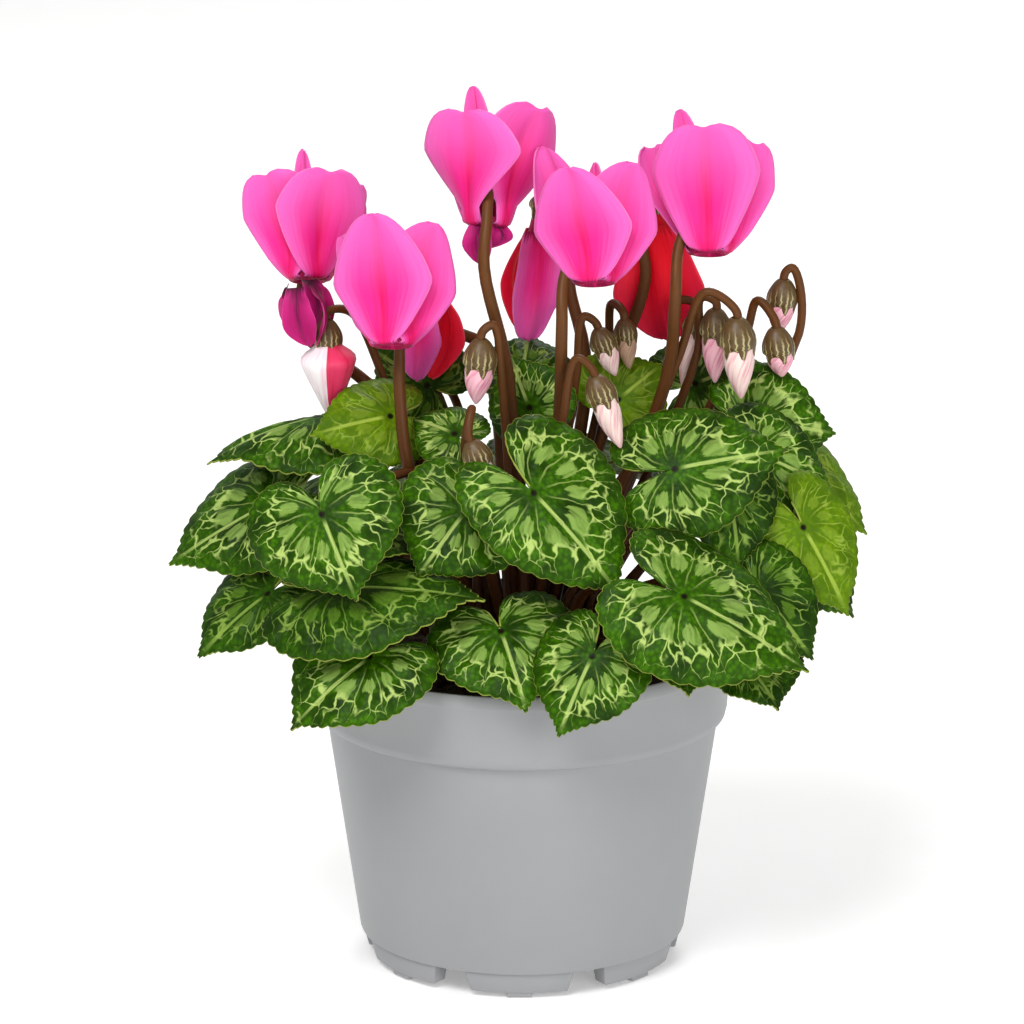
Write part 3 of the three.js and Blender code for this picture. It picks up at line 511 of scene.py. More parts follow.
def leaf_finish(name, dark, fresh, silver, line, pattern_strength):
    material = finish_named(name, Roughness=0.42, IOR=1.42, Specular_IOR_Level=0.1)
    blade = add(material, "Attribute", attribute_name="pattern").outputs["Vector"]
    reach = add(material, "Attribute", attribute_name="reach").outputs["Fac"]
    x, y, z = add(material, "SeparateXYZ", {0: blade}).outputs
    flat = add(material, "CombineXYZ", {0: x, 1: y}).outputs[0]
    radius = add(material, "VectorMath", {0: flat}, operation="LENGTH").outputs["Value"]
    wobble = add(material, "TexNoise", {"Vector": blade, "Scale": 0.12, "Detail": 3.0}).outputs["Fac"]
    known = dict(x=x, y=y, reach=reach, radius=radius, wobble=wobble)
    work_out(material, known, (
        ("bend", "MULTIPLY_ADD", "reach", VEIN_BEND, 1.0),
        ("angle", "ARCTAN2", "y", "x"),
        ("angle", "MULTIPLY", "angle", "bend"),
        ("shaken", "SUBTRACT", "wobble", 0.5),
        ("angle", "MULTIPLY_ADD", "shaken", 0.4, "angle"),
        ("fold", "PINGPONG", "angle", VEIN_SPACING / 2),
        ("from_vein", "MULTIPLY", "fold", "radius"),
        ("comb_round", "MULTIPLY", "angle", 9.0),
        ("comb_out", "MULTIPLY", "radius", 0.12),
        ("mesh_round", "MULTIPLY", "angle", 16.0),
        ("mesh_out", "MULTIPLY", "radius", 0.7),
    ))

    # Silver patches: one between each two veins, mid-way out, with a combed and ragged edge.
    comb_at = add(material, "CombineXYZ", {0: known["comb_round"], 1: known["comb_out"], 2: z}).outputs[0]
    known["comb"] = add(material, "TexNoise", {"Vector": comb_at, "Scale": 1.0, "Detail": 4.0}).outputs["Fac"]
    work_out(material, known, (
        ("frayed", "SUBTRACT", "comb", 0.5),
        ("ragged", "MULTIPLY_ADD", "frayed", 0.26, "reach"),
        ("outwards", "SUBTRACT", "ragged", 0.47),
        ("outwards", "DIVIDE", "outwards", 0.13),
        ("outwards", "POWER", "outwards", 2.0),
        ("sideways", "DIVIDE", "fold", VEIN_SPACING / 2),
        ("sideways", "SUBTRACT", 1.0, "sideways"),
        ("sideways", "MULTIPLY", "sideways", 1.6),
        ("sideways", "POWER", "sideways", 2.0),
        ("patch", "ADD", "outwards", "sideways"),
        ("patch", "SMOOTHSTEP", "patch", 1.15, 0.7),
        ("combed", "SMOOTHSTEP", "comb", 0.3, 0.6, 0.4, 0.9 * pattern_strength),
        ("patch", "MULTIPLY", "patch", "combed"),
    ))

    # The light net of the outer third: large meshes, whose lines run inwards to the patches and end there.
    mesh_at = add(material, "CombineXYZ", {0: known["mesh_round"], 1: known["mesh_out"], 2: z}).outputs[0]
    soft = add(material, "TexNoise", {"Vector": blade, "Scale": 0.2, "Detail": 1.0}).outputs["Color"]
    stir = {0: soft, 1: (5.0, 5.0, 0.0), 2: mesh_at}
    stirred = add(material, "VectorMath", stir, operation="MULTIPLY_ADD").outputs[0]
    cells = {"Vector": stirred, "Scale": 1 / 3.9}
    known["edge"] = add(material, "TexVoronoi", cells, feature="DISTANCE_TO_EDGE").outputs["Distance"]
    known["fine"] = add(material, "TexNoise", {"Vector": blade, "Scale": 0.5, "Detail": 2.0}).outputs["Fac"]
    # The skin between the finest veins stands in cushions of about 1.5 mm,
    # and their tops are painted a little lighter: a painted highlight.
    known["cushions"] = add(material, "TexVoronoi", {"Vector": blade, "Scale": 1 / 1.4}).outputs["Distance"]
    work_out(material, known, (
        ("thick", "MULTIPLY_ADD", "fine", 0.16, "edge"),
        ("thinner", "SMOOTHSTEP", "reach", 0.6, 0.95, -0.05, 0.03),
        ("thick", "ADD", "thick", "thinner"),
        ("net", "SMOOTHSTEP", "thick", 0.05, 0.14, 1.0, 0.0),
        ("inner", "SMOOTHSTEP", "ragged", 0.52, 0.63),
        ("outer", "SMOOTHSTEP", "reach", 0.985, 0.9, 0.0, 0.9 * pattern_strength),
        ("net", "MULTIPLY", "net", "inner"),
        ("net", "MULTIPLY", "net", "outer"),
        ("width", "MULTIPLY_ADD", "reach", -0.3, 0.5),
        ("vein", "DIVIDE", "from_vein", "width"),
        ("vein", "SMOOTHSTEP", "vein", 0.4, 1.0, 1.0, 0.0),
        ("tapered", "SMOOTHSTEP", "reach", 0.9, 0.6),
        ("started", "SMOOTHSTEP", "radius", 2.0, 8.0),
        ("vein", "MULTIPLY", "vein", "tapered"),
        ("vein", "MULTIPLY", "vein", "started"),
        ("faint_vein", "MULTIPLY", "vein", 0.4),
        # The midrib alone is broad and pale.
        ("rib", "ABSOLUTE", "y"),
        ("rib", "SMOOTHSTEP", "rib", 0.75, 0.3),
        ("tapered", "SMOOTHSTEP", "reach", 0.99, 0.6),
        ("started", "SMOOTHSTEP", "radius", 1.0, 4.0),
        ("forwards", "SMOOTHSTEP", "x", 0.0, 1.0, 0.0, 0.75),
        ("rib", "MULTIPLY", "rib", "tapered"),
        ("rib", "MULTIPLY", "rib", "started"),
        ("rib", "MULTIPLY", "rib", "forwards"),
        # The fresh green varies at random over the skin, as the leaf's own tone, and is painted stronger on the
        # cushion tops as a painted highlight.
        ("skin", "SMOOTHSTEP", "wobble", 0.3, 0.6),
        ("tops", "SMOOTHSTEP", "cushions", 0.75, 0.1, 0.35, 1.0),
        ("skin", "MULTIPLY", "skin", "tops"),
        # The dark spot at the stalk's joint is painted shade: the shade in the hollow where the lobes meet over the
        # stalk.
        ("joint", "SMOOTHSTEP", "radius", 1.3, 0.5),
        ("margin", "SMOOTHSTEP", "reach", 0.988, 0.998),
        ("sunk", "MULTIPLY", "cushions", -0.6),
        ("height", "SUBTRACT", "sunk", "vein"),
    ))
    # The joint colour is painted shade at the stalk's joint; the margin colour is the pale tips of the teeth.
    colours = dict(skin=fresh, patch=silver, net=line, faint_vein=line, rib=line, joint="#140f04", margin="#8e9a42")
    paint(material, dark, [(known[k], c) for k, c in colours.items()], known["height"], 0.6, 0.5 * MM)
    return material


marbled = leaf_finish("blade_marbled", "#183202", "#3c6a02", "#82a04a", "#b0c86c", 1.0)
deep = leaf_finish("blade_deep_green", "#162e02", "#305802", "#587a22", "#8caa4a", 0.8)
young = leaf_finish("blade_young", "#466608", "#668806", "#809a2c", "#a6be4a", 0.5)
underside = leaf_finish("blade_underside", "#486416", "#607c22", "#6a862e", "#90a84e", 0.3)
print("a leaf finish has", len(marbled.node_tree.nodes), "nodes")


# %% [markdown]
# ## Leaf blades
# Each blade is kept as the CAD keeps it: the joint with its stalk, the tip, the width and the way it faces. The
# sheet runs round the heart-shaped outline and outwards from the joint. Here it gets what the plain solid leaves
# out: some fifty small teeth, the quilting between the sunken veins, and a light wave of the margin.

# %% Leaf shapes
LEAF_OUTLINE = [
    (-0.06, 0.012), (-0.2, 0.05), (-0.38, 0.13), (-0.52, 0.33), (-0.51, 0.63), (-0.34, 0.88),
    (-0.06, 1), (0.26, 0.94), (0.54, 0.71), (0.76, 0.38), (0.9, 0.13), (1.02, 0),
]
TEETH = 52
TOOTH_DEPTH = 0.03
QUILT_HEIGHT = 0.9
RIPPLE_HEIGHT = 0.35
RIPPLES = 11
TIP_DROOP = 0.18
MARGIN_WAVE = 0.03
BLADE_THICKNESS = 0.5


def blade_frame(leaf):
    joint, tip = Vector(leaf["joint"]), Vector(leaf["tip"])
    u = (tip - joint).normalized()
    tilt = math.radians(leaf["tilt"])
    outwards = math.degrees(math.atan2(tip.y, tip.x))
    n = square_to(u, polar(math.sin(tilt), leaf.get("face", outwards), math.cos(tilt)))
    return joint, u, n.cross(u), n, (tip - joint).length, leaf["width"] / 2


def blade_sheet(mesh, leaf, seed):
    joint, u_axis, v_axis, n_axis, length, half = blade_frame(leaf)

    def place(x, t):
        s = 1 - 2 * x
        out_u, out_v = outline_at(LEAF_OUTLINE, 1 - abs(s))
        tooth = 0.5 - 0.5 * math.cos(2 * math.pi * TEETH * x)
        reach = t * (1 - TOOTH_DEPTH * (1 - tooth) ** 1.5 * smoothstep(t, 0.9, 1))
        u = out_u * reach
        v = math.copysign(out_v, s) * reach
        droop = TIP_DROOP if u > 0 else leaf.get("lobeDroop", 0.25)
        wave = MARGIN_WAVE * math.sin(9 * s + leaf["width"]) * t**3
        rise = (wave - droop * u * u - leaf.get("sideDroop", 0.16) * v * v) * length
        along, across = u * length, v * half * (1 + leaf.get("skew", 0) * math.copysign(1, v))
        radius = math.hypot(along, across)
        angle = math.atan2(across, along) * (1 + VEIN_BEND * t)
        fold = abs((angle + VEIN_SPACING / 2) % VEIN_SPACING - VEIN_SPACING / 2)
        quilt = QUILT_HEIGHT * smoothstep(fold * radius, 0, 4.5)
        quilt = quilt * smoothstep(t, 0.05, 0.3) * smoothstep(t, 1.02, 0.75)
        ripple = RIPPLE_HEIGHT * math.sin(2 * math.pi * RIPPLES * x + seed) * smoothstep(t, 0.6, 1)
        point = joint + u_axis * along + v_axis * across + n_axis * (rise + quilt + ripple)
        return point, (along, across, seed * 7.0)

    sheet(mesh, TEETH * 4, 14, place)


# %% [markdown]
# Each blade is one row of a table: its joint, its tip, its width, where it faces and how steeply. They were
# measured on the photograph. The blades at the back, which it doesn't show, stand in three tiers by a rule.

# %% Blades
BLADE_ROW = ("joint", "tip", "width", "face", "tilt")
SHOWN_BLADES = {
    "front_left": ((-55, -57, 145), (-46, -68, 124), 45, -105, 62, dict(climb=0.95, reach=0.2)),
    "front_centre": ((3, -57, 151), (28, -68, 127), 44, -74, 60, dict(climb=0.8, skew=0.16)),
    "front_inner": ((-16, -44, 142), (-29, -54, 127), 38, -80, 55),
    "front_right_upper": ((42, -39, 153), (73, -39, 160), 39, -80, 55),
    "front_right": ((44, -69, 125), (79, -77, 109), 46, -68, 48, dict(climb=0.65, lobeDroop=0.05)),
    "rim_centre": ((19, -69, 108), (9, -81, 90), 34, -105, 60),
    "rim_inner": ((-6, -55, 111), (1, -73, 96), 42, -90, 42),
    "rim_left": ((-42, -60, 105), (-65, -69, 90), 42, -115, 50, dict(skew=-0.12)),
    "left_wide": ((-50, -50, 122), (-12, -62, 127), 46, -95, 24, dict(climb=0.95, reach=0.1, drop=0)),
    "left_behind": ((-37, -32, 133), (-24, -46, 134), 24, -80, 20, dict(climb=0.95, reach=0.35, root=(-48, 8))),
    "left_low": ((-71, -32, 115), (-92, -38, 101), 34, -135, 50, dict(skew=-0.25)),
    "left_mid": ((-71, -14, 136), (-101, -16, 122), 46, -140, 50, dict(skew=-0.15)),
    "left_upper": ((-58, -2, 158), (-90, -6, 152), 42, 170, 10, dict(reach=0.2, sideDroop=0.4)),
    "left_fold": ((-37, -16, 162), (-58, -26, 161), 28, -45, 50),
    "right_upper": ((65, -7, 158), (89, -5, 155), 36, -60, 71, dict(reach=0.2)),
    "right_second": ((66, -20, 152), (88, -20, 143), 34, -75, 53, dict(reach=0.2, root=(27, -63))),
    "right_olive": ((75, 6, 143), (101, 8, 124), 38, -40, 50, dict(skew=0.2)),
    "right_outer": ((76, -12, 127), (96, -14, 104), 36, -65, 63),
    "right_pale": ((78, -31, 134), (92, -37, 111), 30, -80, 60, dict(climb=0.65, reach=0.2)),
    "right_dark": ((66, -44, 119), (81, -50, 102), 30, -80, 71),
    "right_inner": ((57, -36, 146), (61, -44, 126), 30, -75, 62, dict(climb=0.6, reach=0.2, drop=0)),
    "right_low": ((62, -50, 100), (71, -60, 92), 30, -65, 50, dict(skew=0.25)),
    "rim_right": ((42, -54, 108), (46, -72, 101), 36, -65, 35),
    "inner_front": ((2, -6, 162), (-4, -2, 176), 27, -120, 65),
    "top_left": ((-27, 11, 164), (-43, 15, 174), 28, -90, 75, dict(drop=0)),
    "top_left_front": ((-19, -24, 159), (-31, -17, 163), 22, -80, 45),
    "top_pale": ((27, -1, 163), (39, 2, 173), 31, -65, 50),
    "top_right": ((49, 13, 164), (69, 23, 170), 30, -60, 46, dict(reach=0.2)),
    "top_back": ((0, 12, 168), (2, 26, 177), 34, -90, 45),
}
LEAVES = {name: dict(zip(BLADE_ROW, row), **dict(*row[5:])) for name, row in SHOWN_BLADES.items()}
BACK_TIERS = {
    "low": dict(angles=(30, 80, 135), joint=(60, 110), tip=(88, 90), width=45, tilt=45, step=3),
    "mid": dict(angles=(36, 76, 118, 160), joint=(56, 132), tip=(86, 117), width=45, tilt=40, step=5),
    "top": dict(angles=(66, 122), joint=(44, 159), tip=(72, 152), width=45, tilt=20, step=4),
}
for tier, row in BACK_TIERS.items():
    for i, angle in enumerate(row["angles"]):
        odd = i % 2
        LEAVES[f"back_{tier}_{i + 1}"] = dict(
            joint=polar(row["joint"][0], angle, row["joint"][1] + odd * row["step"]),
            tip=polar(row["tip"][0], angle + (5 if odd else -5), row["tip"][1] + odd * row["step"]),
            width=row["width"] + (2 if odd else -2),
            tilt=row["tilt"],
        )
YOUNG = {"right_pale", "right_olive", "left_fold", "top_pale"}
DEEP = {
    "right_inner", "left_wide", "left_behind", "top_left", "top_back",
    "right_dark", "right_low", "rim_right", "left_low",
}

for seed, (name, leaf) in enumerate(LEAVES.items()):
    blade = bmesh.new()
    blade_sheet(blade, leaf, seed)
    upper = young if name in YOUNG else deep if name in DEEP else marbled
    faces_up = blade_frame(leaf)[3]
    piece(f"blade_{name}", blade, [upper, underside], f"leaf_{name}", BLADE_THICKNESS, 1, faces_up)
print(len(LEAVES), "blades with", TEETH, "teeth each")


# %% [markdown]
# ## Stalks
# Petioles and flower stalks are fleshy, hairless at this size, and reddish brown; their finish is painted darker
# and redder low down, as painted shade under the leaves. Each is a tube along the same curve as in the CAD, and
# they all spring from the crown of the tuber, a flattened corky ball half sunk in the peat.


# %% Stalk finish
stalk_skin = finish_named("stalk_skin", Roughness=0.45, IOR=1.4, Specular_IOR_Level=0.3)
place = add(stalk_skin, "TexCoord").outputs["Object"]
height = add(stalk_skin, "SeparateXYZ", {0: place}).outputs["Z"]
# Low down the stalks are painted darker, high up lighter: painted shade under the leaves and painted light above.
high = add(stalk_skin, "MapRange", {0: height, 1: 120 * MM, 2: 210 * MM}).outputs[0]
fleck = add(stalk_skin, "TexNoise", {"Vector": place, "Scale": 260.0, "Detail": 3.0}).outputs["Fac"]
paint(stalk_skin, "#43190a", [(high, "#6b3d17"), (fleck, "#4f3210")], fleck, 0.3, 0.3 * MM)
print("stalk finish:", len(stalk_skin.node_tree.nodes), "nodes")

# %% [markdown]
# A petiole leaves the crown where its blade lies, climbs to a shoulder, and comes up under the joint square to
# the blade. Four points give that curve, and its tube grows a little thinner upwards.

# %% Petioles
PETIOLE_RADIUS = 1.35
PETIOLE_STEPS = 22
CAD_GAP = 0.35
CAD_BLADE = 0.7


def crown_point(target):
    degrees = math.degrees(math.atan2(target[1], target[0]))
    radius = min(max(math.hypot(target[0], target[1]) * 0.2, 2), TUBER_RADIUS * 0.75)
    return polar(radius, degrees, TUBER_CENTRE_Z + TUBER_HALF_HEIGHT * 0.55)


petioles = bmesh.new()
for name, leaf in LEAVES.items():
    joint, u, _, n, length, _ = blade_frame(leaf)
    end = joint - n * 0.1
    neck = joint - n * (CAD_BLADE / 2 + CAD_GAP + 3)
    below = neck - n * (length * leaf.get("drop", 0.25)) - u * (length * 0.15)
    root = crown_point(leaf.get("root", joint))
    rise = (end.z - root.z) * leaf.get("climb", 0.35) + 4
    shoulder = root + Vector((below.x - root.x, below.y - root.y, 0)) * leaf.get("reach", 0.35) + UP * rise
    centres = [*stalk_curve([root, shoulder, below, neck], PETIOLE_STEPS), end]
    radii = [PETIOLE_RADIUS * (1.15 - 0.25 * j / (PETIOLE_STEPS + 1)) for j in range(PETIOLE_STEPS + 2)]
    tube(petioles, centres, radii, 8)
piece("petioles", petioles, [stalk_skin], "tuber_and_stalks")

# %% [markdown]
# ## Tuber
# The tuber is a dry, corky ball pressed flat, with a rough brown bark. A round ball from bmesh is scaled to it
# and made uneven by a slow noise.

# %% Tuber
cork = finish_named("tuber_cork", Roughness=0.9)
place = add(cork, "TexCoord").outputs["Object"]
bark = add(cork, "TexNoise", {"Vector": place, "Scale": 350.0, "Detail": 5.0}).outputs["Fac"]
paint(cork, "#2e1c12", [(bark, "#6b4a33")], bark, 0.8, MM)

tuber = bmesh.new()
bmesh.ops.create_uvsphere(tuber, u_segments=48, v_segments=24, radius=1)
for vert in tuber.verts:
    swell = 1 + 0.05 * noise.noise(vert.co * 2.5) - 0.04
    vert.co = Vector((vert.co.x * TUBER_RADIUS, vert.co.y * TUBER_RADIUS, vert.co.z * TUBER_HALF_HEIGHT)) * swell * MM
    vert.co.z += TUBER_CENTRE_Z * MM
print("tuber", 2 * TUBER_RADIUS, "mm across,", len(LEAVES), "petioles")
piece("tuber", tuber, [cork], "tuber_and_stalks")


# %% [markdown]
# ## Petals
# A cyclamen petal is thin, soft and satiny: hot pink, paler and more lilac at its edges, with a deep crease down
# the middle, fine lengthwise veins and a dark magenta foot at the mouth. Each petal turns straight back at the
# mouth and twists, so two broad ones face the front and others show as narrow spikes behind.


# %% Petal finish
def petal_finish(name, crease, body, edge, foot, rim):
    material = finish_named(
        name, Roughness=0.55, Specular_IOR_Level=0.18, Sheen_Weight=0.05,
        Subsurface_Weight=0.15, Subsurface_Radius=(0.004, 0.002, 0.003), Subsurface_Scale=1.0,
    )
    spot = add(material, "Attribute", attribute_name="pattern").outputs["Vector"]
    x, y, _ = add(material, "SeparateXYZ", {0: spot}).outputs
    drawn_out = add(material, "VectorMath", {0: spot, 1: (14.0, 1.6, 1.0)}, operation="MULTIPLY").outputs[0]
    veins = add(material, "TexNoise", {"Vector": drawn_out, "Scale": 1.0, "Detail": 5.0}).outputs["Fac"]
    known = dict(x=x, y=y, veins=veins)
    # Hot pink down the middle and at the foot, lilac towards the edges and the end, a thin light rim.
    work_out(material, known, (
        ("side", "ABSOLUTE", "x"),
        ("shift", "MULTIPLY_ADD", "veins", 0.5, -0.25),
        ("uneven", "ADD", "side", "shift"),
        ("foot_line", "ADD", "y", "shift"),
        ("flank", "SMOOTHSTEP", "uneven", -0.02, 0.22),
        ("lower", "SMOOTHSTEP", "foot_line", 0.5, 0.15, 0.0, 0.7),
        ("outer", "SMOOTHSTEP", "uneven", 0.3, 0.95, 0.0, 0.9),
        ("end", "SMOOTHSTEP", "y", 0.5, 1.0, 0.0, 0.75),
        ("mouth", "SMOOTHSTEP", "foot_line", 0.2, 0.02),
        ("margin", "SMOOTHSTEP", "side", 0.955, 0.985, 0.0, 0.45),
    ))
    colours = dict(flank=body, lower=crease, outer=edge, end=edge, mouth=foot, margin=rim)
    paint(material, crease, [(known[k], c) for k, c in colours.items()], veins, 0.25, 0.4 * MM)
    return material


pink = petal_finish("petal_pink", "#e2085e", "#ea2286", "#ee62b8", "#94003f", "#f58cca")
red = petal_finish("petal_red", "#e0001a", "#f0041e", "#fa2038", "#b00014", "#fa5060")
furled_dark = petal_finish("petal_dark_magenta", "#5c0038", "#a80a62", "#c8207c", "#480028", "#d860a8")
print("a petal finish has", len(pink.node_tree.nodes), "nodes")

# %% [markdown]
# ## One petal
# A petal is a sheet along a bent middle line, which for an open flower turns back at the mouth and for a hanging
# one runs straight down. Its width grows from the foot to the widest point and closes in a kite's end, and it
# gets a crease, a slow ripple and a twist. It is made upright round the Z axis, and a matrix brings it to its
# flower.

# %% One petal
TUBE_TOP = 8.0
PETAL_THICKNESS = 0.45
CAD_PETAL = 0.8
PETAL_LENGTH = 36.0
NARROW_PETAL = 14
REFLEXED = [(4.4, 0.1), (6.3, 1.3), (7.1, 8), (8.5, 16), (10.8, 26), (14, 36)]
HANGING = [(3.7, 2.4), (4.6, -1), (5.2, -5.5), (5.8, -12), (5.4, -19), (4, -26), (1.8, -34)]


def petal_point(petal, a, t):
    line = HANGING if petal.get("hanging") else REFLEXED
    middle = outline_at(line, t)
    ahead = outline_at(line, min(1, t + 1e-3)) - outline_at(line, max(0, t - 1e-3))
    tangent = ahead.normalized()
    pointed = petal.get("pointed") or petal["width"] < NARROW_PETAL
    widest = 0.62 if pointed or petal.get("hanging") else 0.74
    rise = 0.24 + 0.76 * min(1, max(0, (t - petal["claw"]) / (widest - petal["claw"])))
    start = widest - 0.08
    fall = max(0, 1 - (max(0, t - start) / (1.015 - start)) ** 2)
    half = petal["width"] / 2 * rise * fall ** (0.75 if pointed else 0.5)
    flare = petal["flare"] * smoothstep(t, 0.2, 1)
    twist = math.radians(petal["twist"]) * smoothstep(t, 0.18, 0.42)
    crease = 1.3 * math.exp(-((a / 0.2) ** 2)) * smoothstep(t, 0.22, 0.5) * smoothstep(t, 1.08, 0.8)
    ripple = 0.5 * math.sin(4.2 * a + petal["seed"] + 5 * t) * smoothstep(t, 0.3, 0.9)
    out = a * half * math.sin(twist) - petal["curl"] * half * a * a + ripple - crease
    notch = 0 if pointed or petal.get("hanging") else 0.9 * math.exp(-((a / 0.4) ** 2)) * smoothstep(t, 0.7, 1)
    z = middle.y * petal["length"] / PETAL_LENGTH - notch
    point = Vector((middle.x + flare + out * tangent.y, a * half * math.cos(twist), z - out * tangent.x))
    turned_by = petal["turn"] + petal["lean"] * smoothstep(t, 0.3, 0.8)
    return Matrix.Rotation(math.radians(turned_by), 3, "Z") @ point


def petal_sheet(mesh, to_plant, columns, rows, material, mark, petal):
    """A petal says its turn, length, width, flare, twist and seed, and maybe its claw, its lean and how it is held."""
    petal = dict(claw=0.18, lean=0, curl=0.2) | petal

    def place(x, t):
        a = 2 * x - 1
        return to_plant @ petal_point(petal, a, t), (a, t, mark)

    sheet(mesh, columns, rows, place, material)


def flower_matrix(flower):
    mouth = Vector(flower["mouth"])
    z = (Vector(flower["top"]) - mouth).normalized()
    x = square_to(z, Vector((1, 0, 0)))
    y = z.cross(x)
    return Matrix.Translation(mouth) @ Matrix((x, y, z)).transposed().to_4x4()


# %% [markdown]
# ## Flowers
# Each flower is a row: its mouth, which faces down, the top of its tube, the side of its stalk, and its petals,
# each with its turn round the flower, length, width, flare and twist. Two numbers may follow, for where its
# narrow claw ends and how far it leans aside. The closed tube and its petals are one corolla, as they are one
# piece in the plant. An open flower has a low ring at the mouth, where its petals turn back.

# %% Flowers
TUBE = [(0.2, 8.0), (2.2, 7.6), (2.9, 5.6), (3.2, 3.0), (3.7, 1.0), (4.5, 0.1)]
MOUTH_RING = [(5.0, 0.3), (5.5, 0.9), (5.7, 1.7), (5.7, 2.6)]
PETAL_ROW = ("turn", "length", "width", "flare", "twist", "claw", "lean")
# In two of the hanging flowers one petal is red, as the photograph shows them.
RED_PETALS = {("back_left", 20), ("back_magenta", 150)}

FLOWERS = {
    "left": dict(
        mouth=(-60, 4, 196), top=(-60, 17, 227), stalk_side=104, via=(-38, -2, 162),
        petals=[(-146, 29.5, 25, 1, -40), (-66, 29.5, 27, 1.5, 10), (-2, 28, 20, 0, 42),
                (56, 40, 10, 0, -30, 0.4, 44), (138, 27, 17, 0, -50, 0.2)],
    ),
    "front_left": dict(
        mouth=(-36, -28, 185), top=(-36, -15, 218), stalk_side=79, via=(-31, -26, 147), hold=dict(pointed=True),
        petals=[(-112, 35, 29, 1.5, -10), (-34, 33.5, 26, 0, 43), (39, 31, 19, 0, 44, 0.3),
                (142, 33, 12, 0, 44, 0.3), (182, 31, 22, 0, -40)],
    ),
    "top": dict(
        mouth=(-10, -6, 214), top=(-8, 4, 246), stalk_side=-90, via=(-4, -12, 172),
        lobes=[(-112, 11.5, 9), (-50, 6, 9)],
        petals=[(-138, 30.5, 32, 6.5, 4, 0.34, 24), (-36, 34, 28, 0.5, 24, 0.36, 6), (34, 31, 18, 0, 44),
                (84, 40, 11, 0, 56, 0.05, 34), (137, 30, 12, 0, 44, 0.05, 4)],
    ),
    "centre": dict(
        mouth=(20, -25, 202), top=(19, -12, 235), stalk_side=192, via=(10, -20, 159), hold=dict(pointed=True),
        petals=[(-110, 30.5, 29, 2.2, -8, 0.12, -6), (-36, 32.5, 26, 0, 44), (34, 31, 19, 0, 48),
                (86, 36, 12, 0, 50), (152, 40, 19, 1.5, 36, 0.2)],
    ),
    "right": dict(
        mouth=(52, -12, 207.5), top=(52, 1, 240.5), stalk_side=191, via=(40, -9, 170),
        petals=[(-98, 34, 31, 1.5, -8, 0.12), (-26, 31, 25, 0, 44), (44, 31, 18, 0, 48),
                (96, 42.5, 11, 0, 60, 0.05, 30), (162, 31.5, 19, 3, 50, 0.3)],
    ),
    "back_red": dict(
        mouth=(38, 20, 207), top=(37, 20, 215), stalk_side=-120, via=(24, 12, 163),
        petals=[(-100, 33, 27, 1, 0, -0.1), (-10, 25, 12, 1.5, 0), (130, 30, 14, 1, 0)],
        hold=dict(hanging=True, pointed=True),
    ),
    "back_magenta": dict(
        mouth=(5, 20, 205), top=(6, 20, 213), stalk_side=0, via=(18, 12, 168),
        petals=[(-85, 31, 14, 1, 14, -1.2), (20, 28, 10, 1.5, 0), (150, 29, 12, 1, 0)], hold=dict(hanging=True),
    ),
    "back_left": dict(
        mouth=(-26, 6, 192), top=(-25, 6, 200), stalk_side=80, via=(-12, 26, 172),
        petals=[(-100, 26, 13, 1.5, 24), (20, 26, 13, 1.5, 24), (140, 26, 13, 1.5, 24)], hold=dict(hanging=True),
    ),
}

for name, flower in FLOWERS.items():
    to_plant = flower_matrix(flower)
    hold = flower.get("hold", {})
    corolla = bmesh.new()

    def tube_place(s, t):
        r, z = outline_at(TUBE if "hanging" in hold else TUBE + MOUTH_RING, t)
        return to_plant @ polar(r, -360 * s, z), (math.cos(12 * math.pi * s) * 0.2, 0.12 * (1 - t), 0)

    sheet(corolla, 30, 14, tube_place)
    for i, row in enumerate(flower["petals"]):
        petal = dict(zip(PETAL_ROW, row), seed=1.7 * i, **hold)
        finish = 1 if (name, petal["turn"]) in RED_PETALS else 0
        petal_sheet(corolla, to_plant, 20, 30, finish, petal["seed"], petal)
    # Short dark lobes hang below the mouth of the top flower.
    for i, row in enumerate(flower.get("lobes", ())):
        lobe = dict(zip(PETAL_ROW, row), flare=0, twist=0, claw=-0.6, seed=i, hanging=True)
        petal_sheet(corolla, to_plant, 12, 12, 2, i, lobe)
    finishes = [red, pink] if name == "back_red" else [pink, red, furled_dark]
    piece(f"corolla_{name}", corolla, finishes, f"flower_{name}", PETAL_THICKNESS)
print(len(FLOWERS), "corollas")


# %% [markdown]
# ## Calyx and flower stalks
# Every flower and bud hangs from a hooked stalk that ends in a small green cup with five pointed sepals, brown
# on their backs and cream between the ribs. The cup is a sheet wrapped into a tube whose free edge is drawn out
# into five points.

# %% Calyx finish
CALYX_STRIPES = 15
sepal = finish_named("sepal_skin", Roughness=0.45)
spot = add(sepal, "Attribute", attribute_name="pattern").outputs["Vector"]
x, y, _ = add(sepal, "SeparateXYZ", {0: spot}).outputs
mottle = add(sepal, "TexNoise", {"Vector": spot, "Scale": 9.0, "Detail": 3.0}).outputs["Fac"]
known = dict(x=x, y=y, mottle=mottle)
work_out(sepal, known, (
    ("swayed", "MULTIPLY_ADD", "mottle", 0.06, "x"),
    ("rib", "PINGPONG", "swayed", 1 / (2 * CALYX_STRIPES)),
    ("ribbed", "SMOOTHSTEP", "rib", 0.021, 0.03, 0.0, 0.8),
    ("lower", "SMOOTHSTEP", "y", 0.25, 0.6),
    ("cream", "MULTIPLY", "ribbed", "lower"),
))
paint(sepal, "#3d2210", [(mottle, "#6b5528"), (known["cream"], "#bdb57e")])
print("sepal finish:", len(sepal.node_tree.nodes), "nodes")

# %% [markdown]
# The stalk's hook is the same on every flower: up past the tube, over it, and down into the cap. It is a list of
# points in the flower's own frame, so the flower's matrix and its stalk side place it.


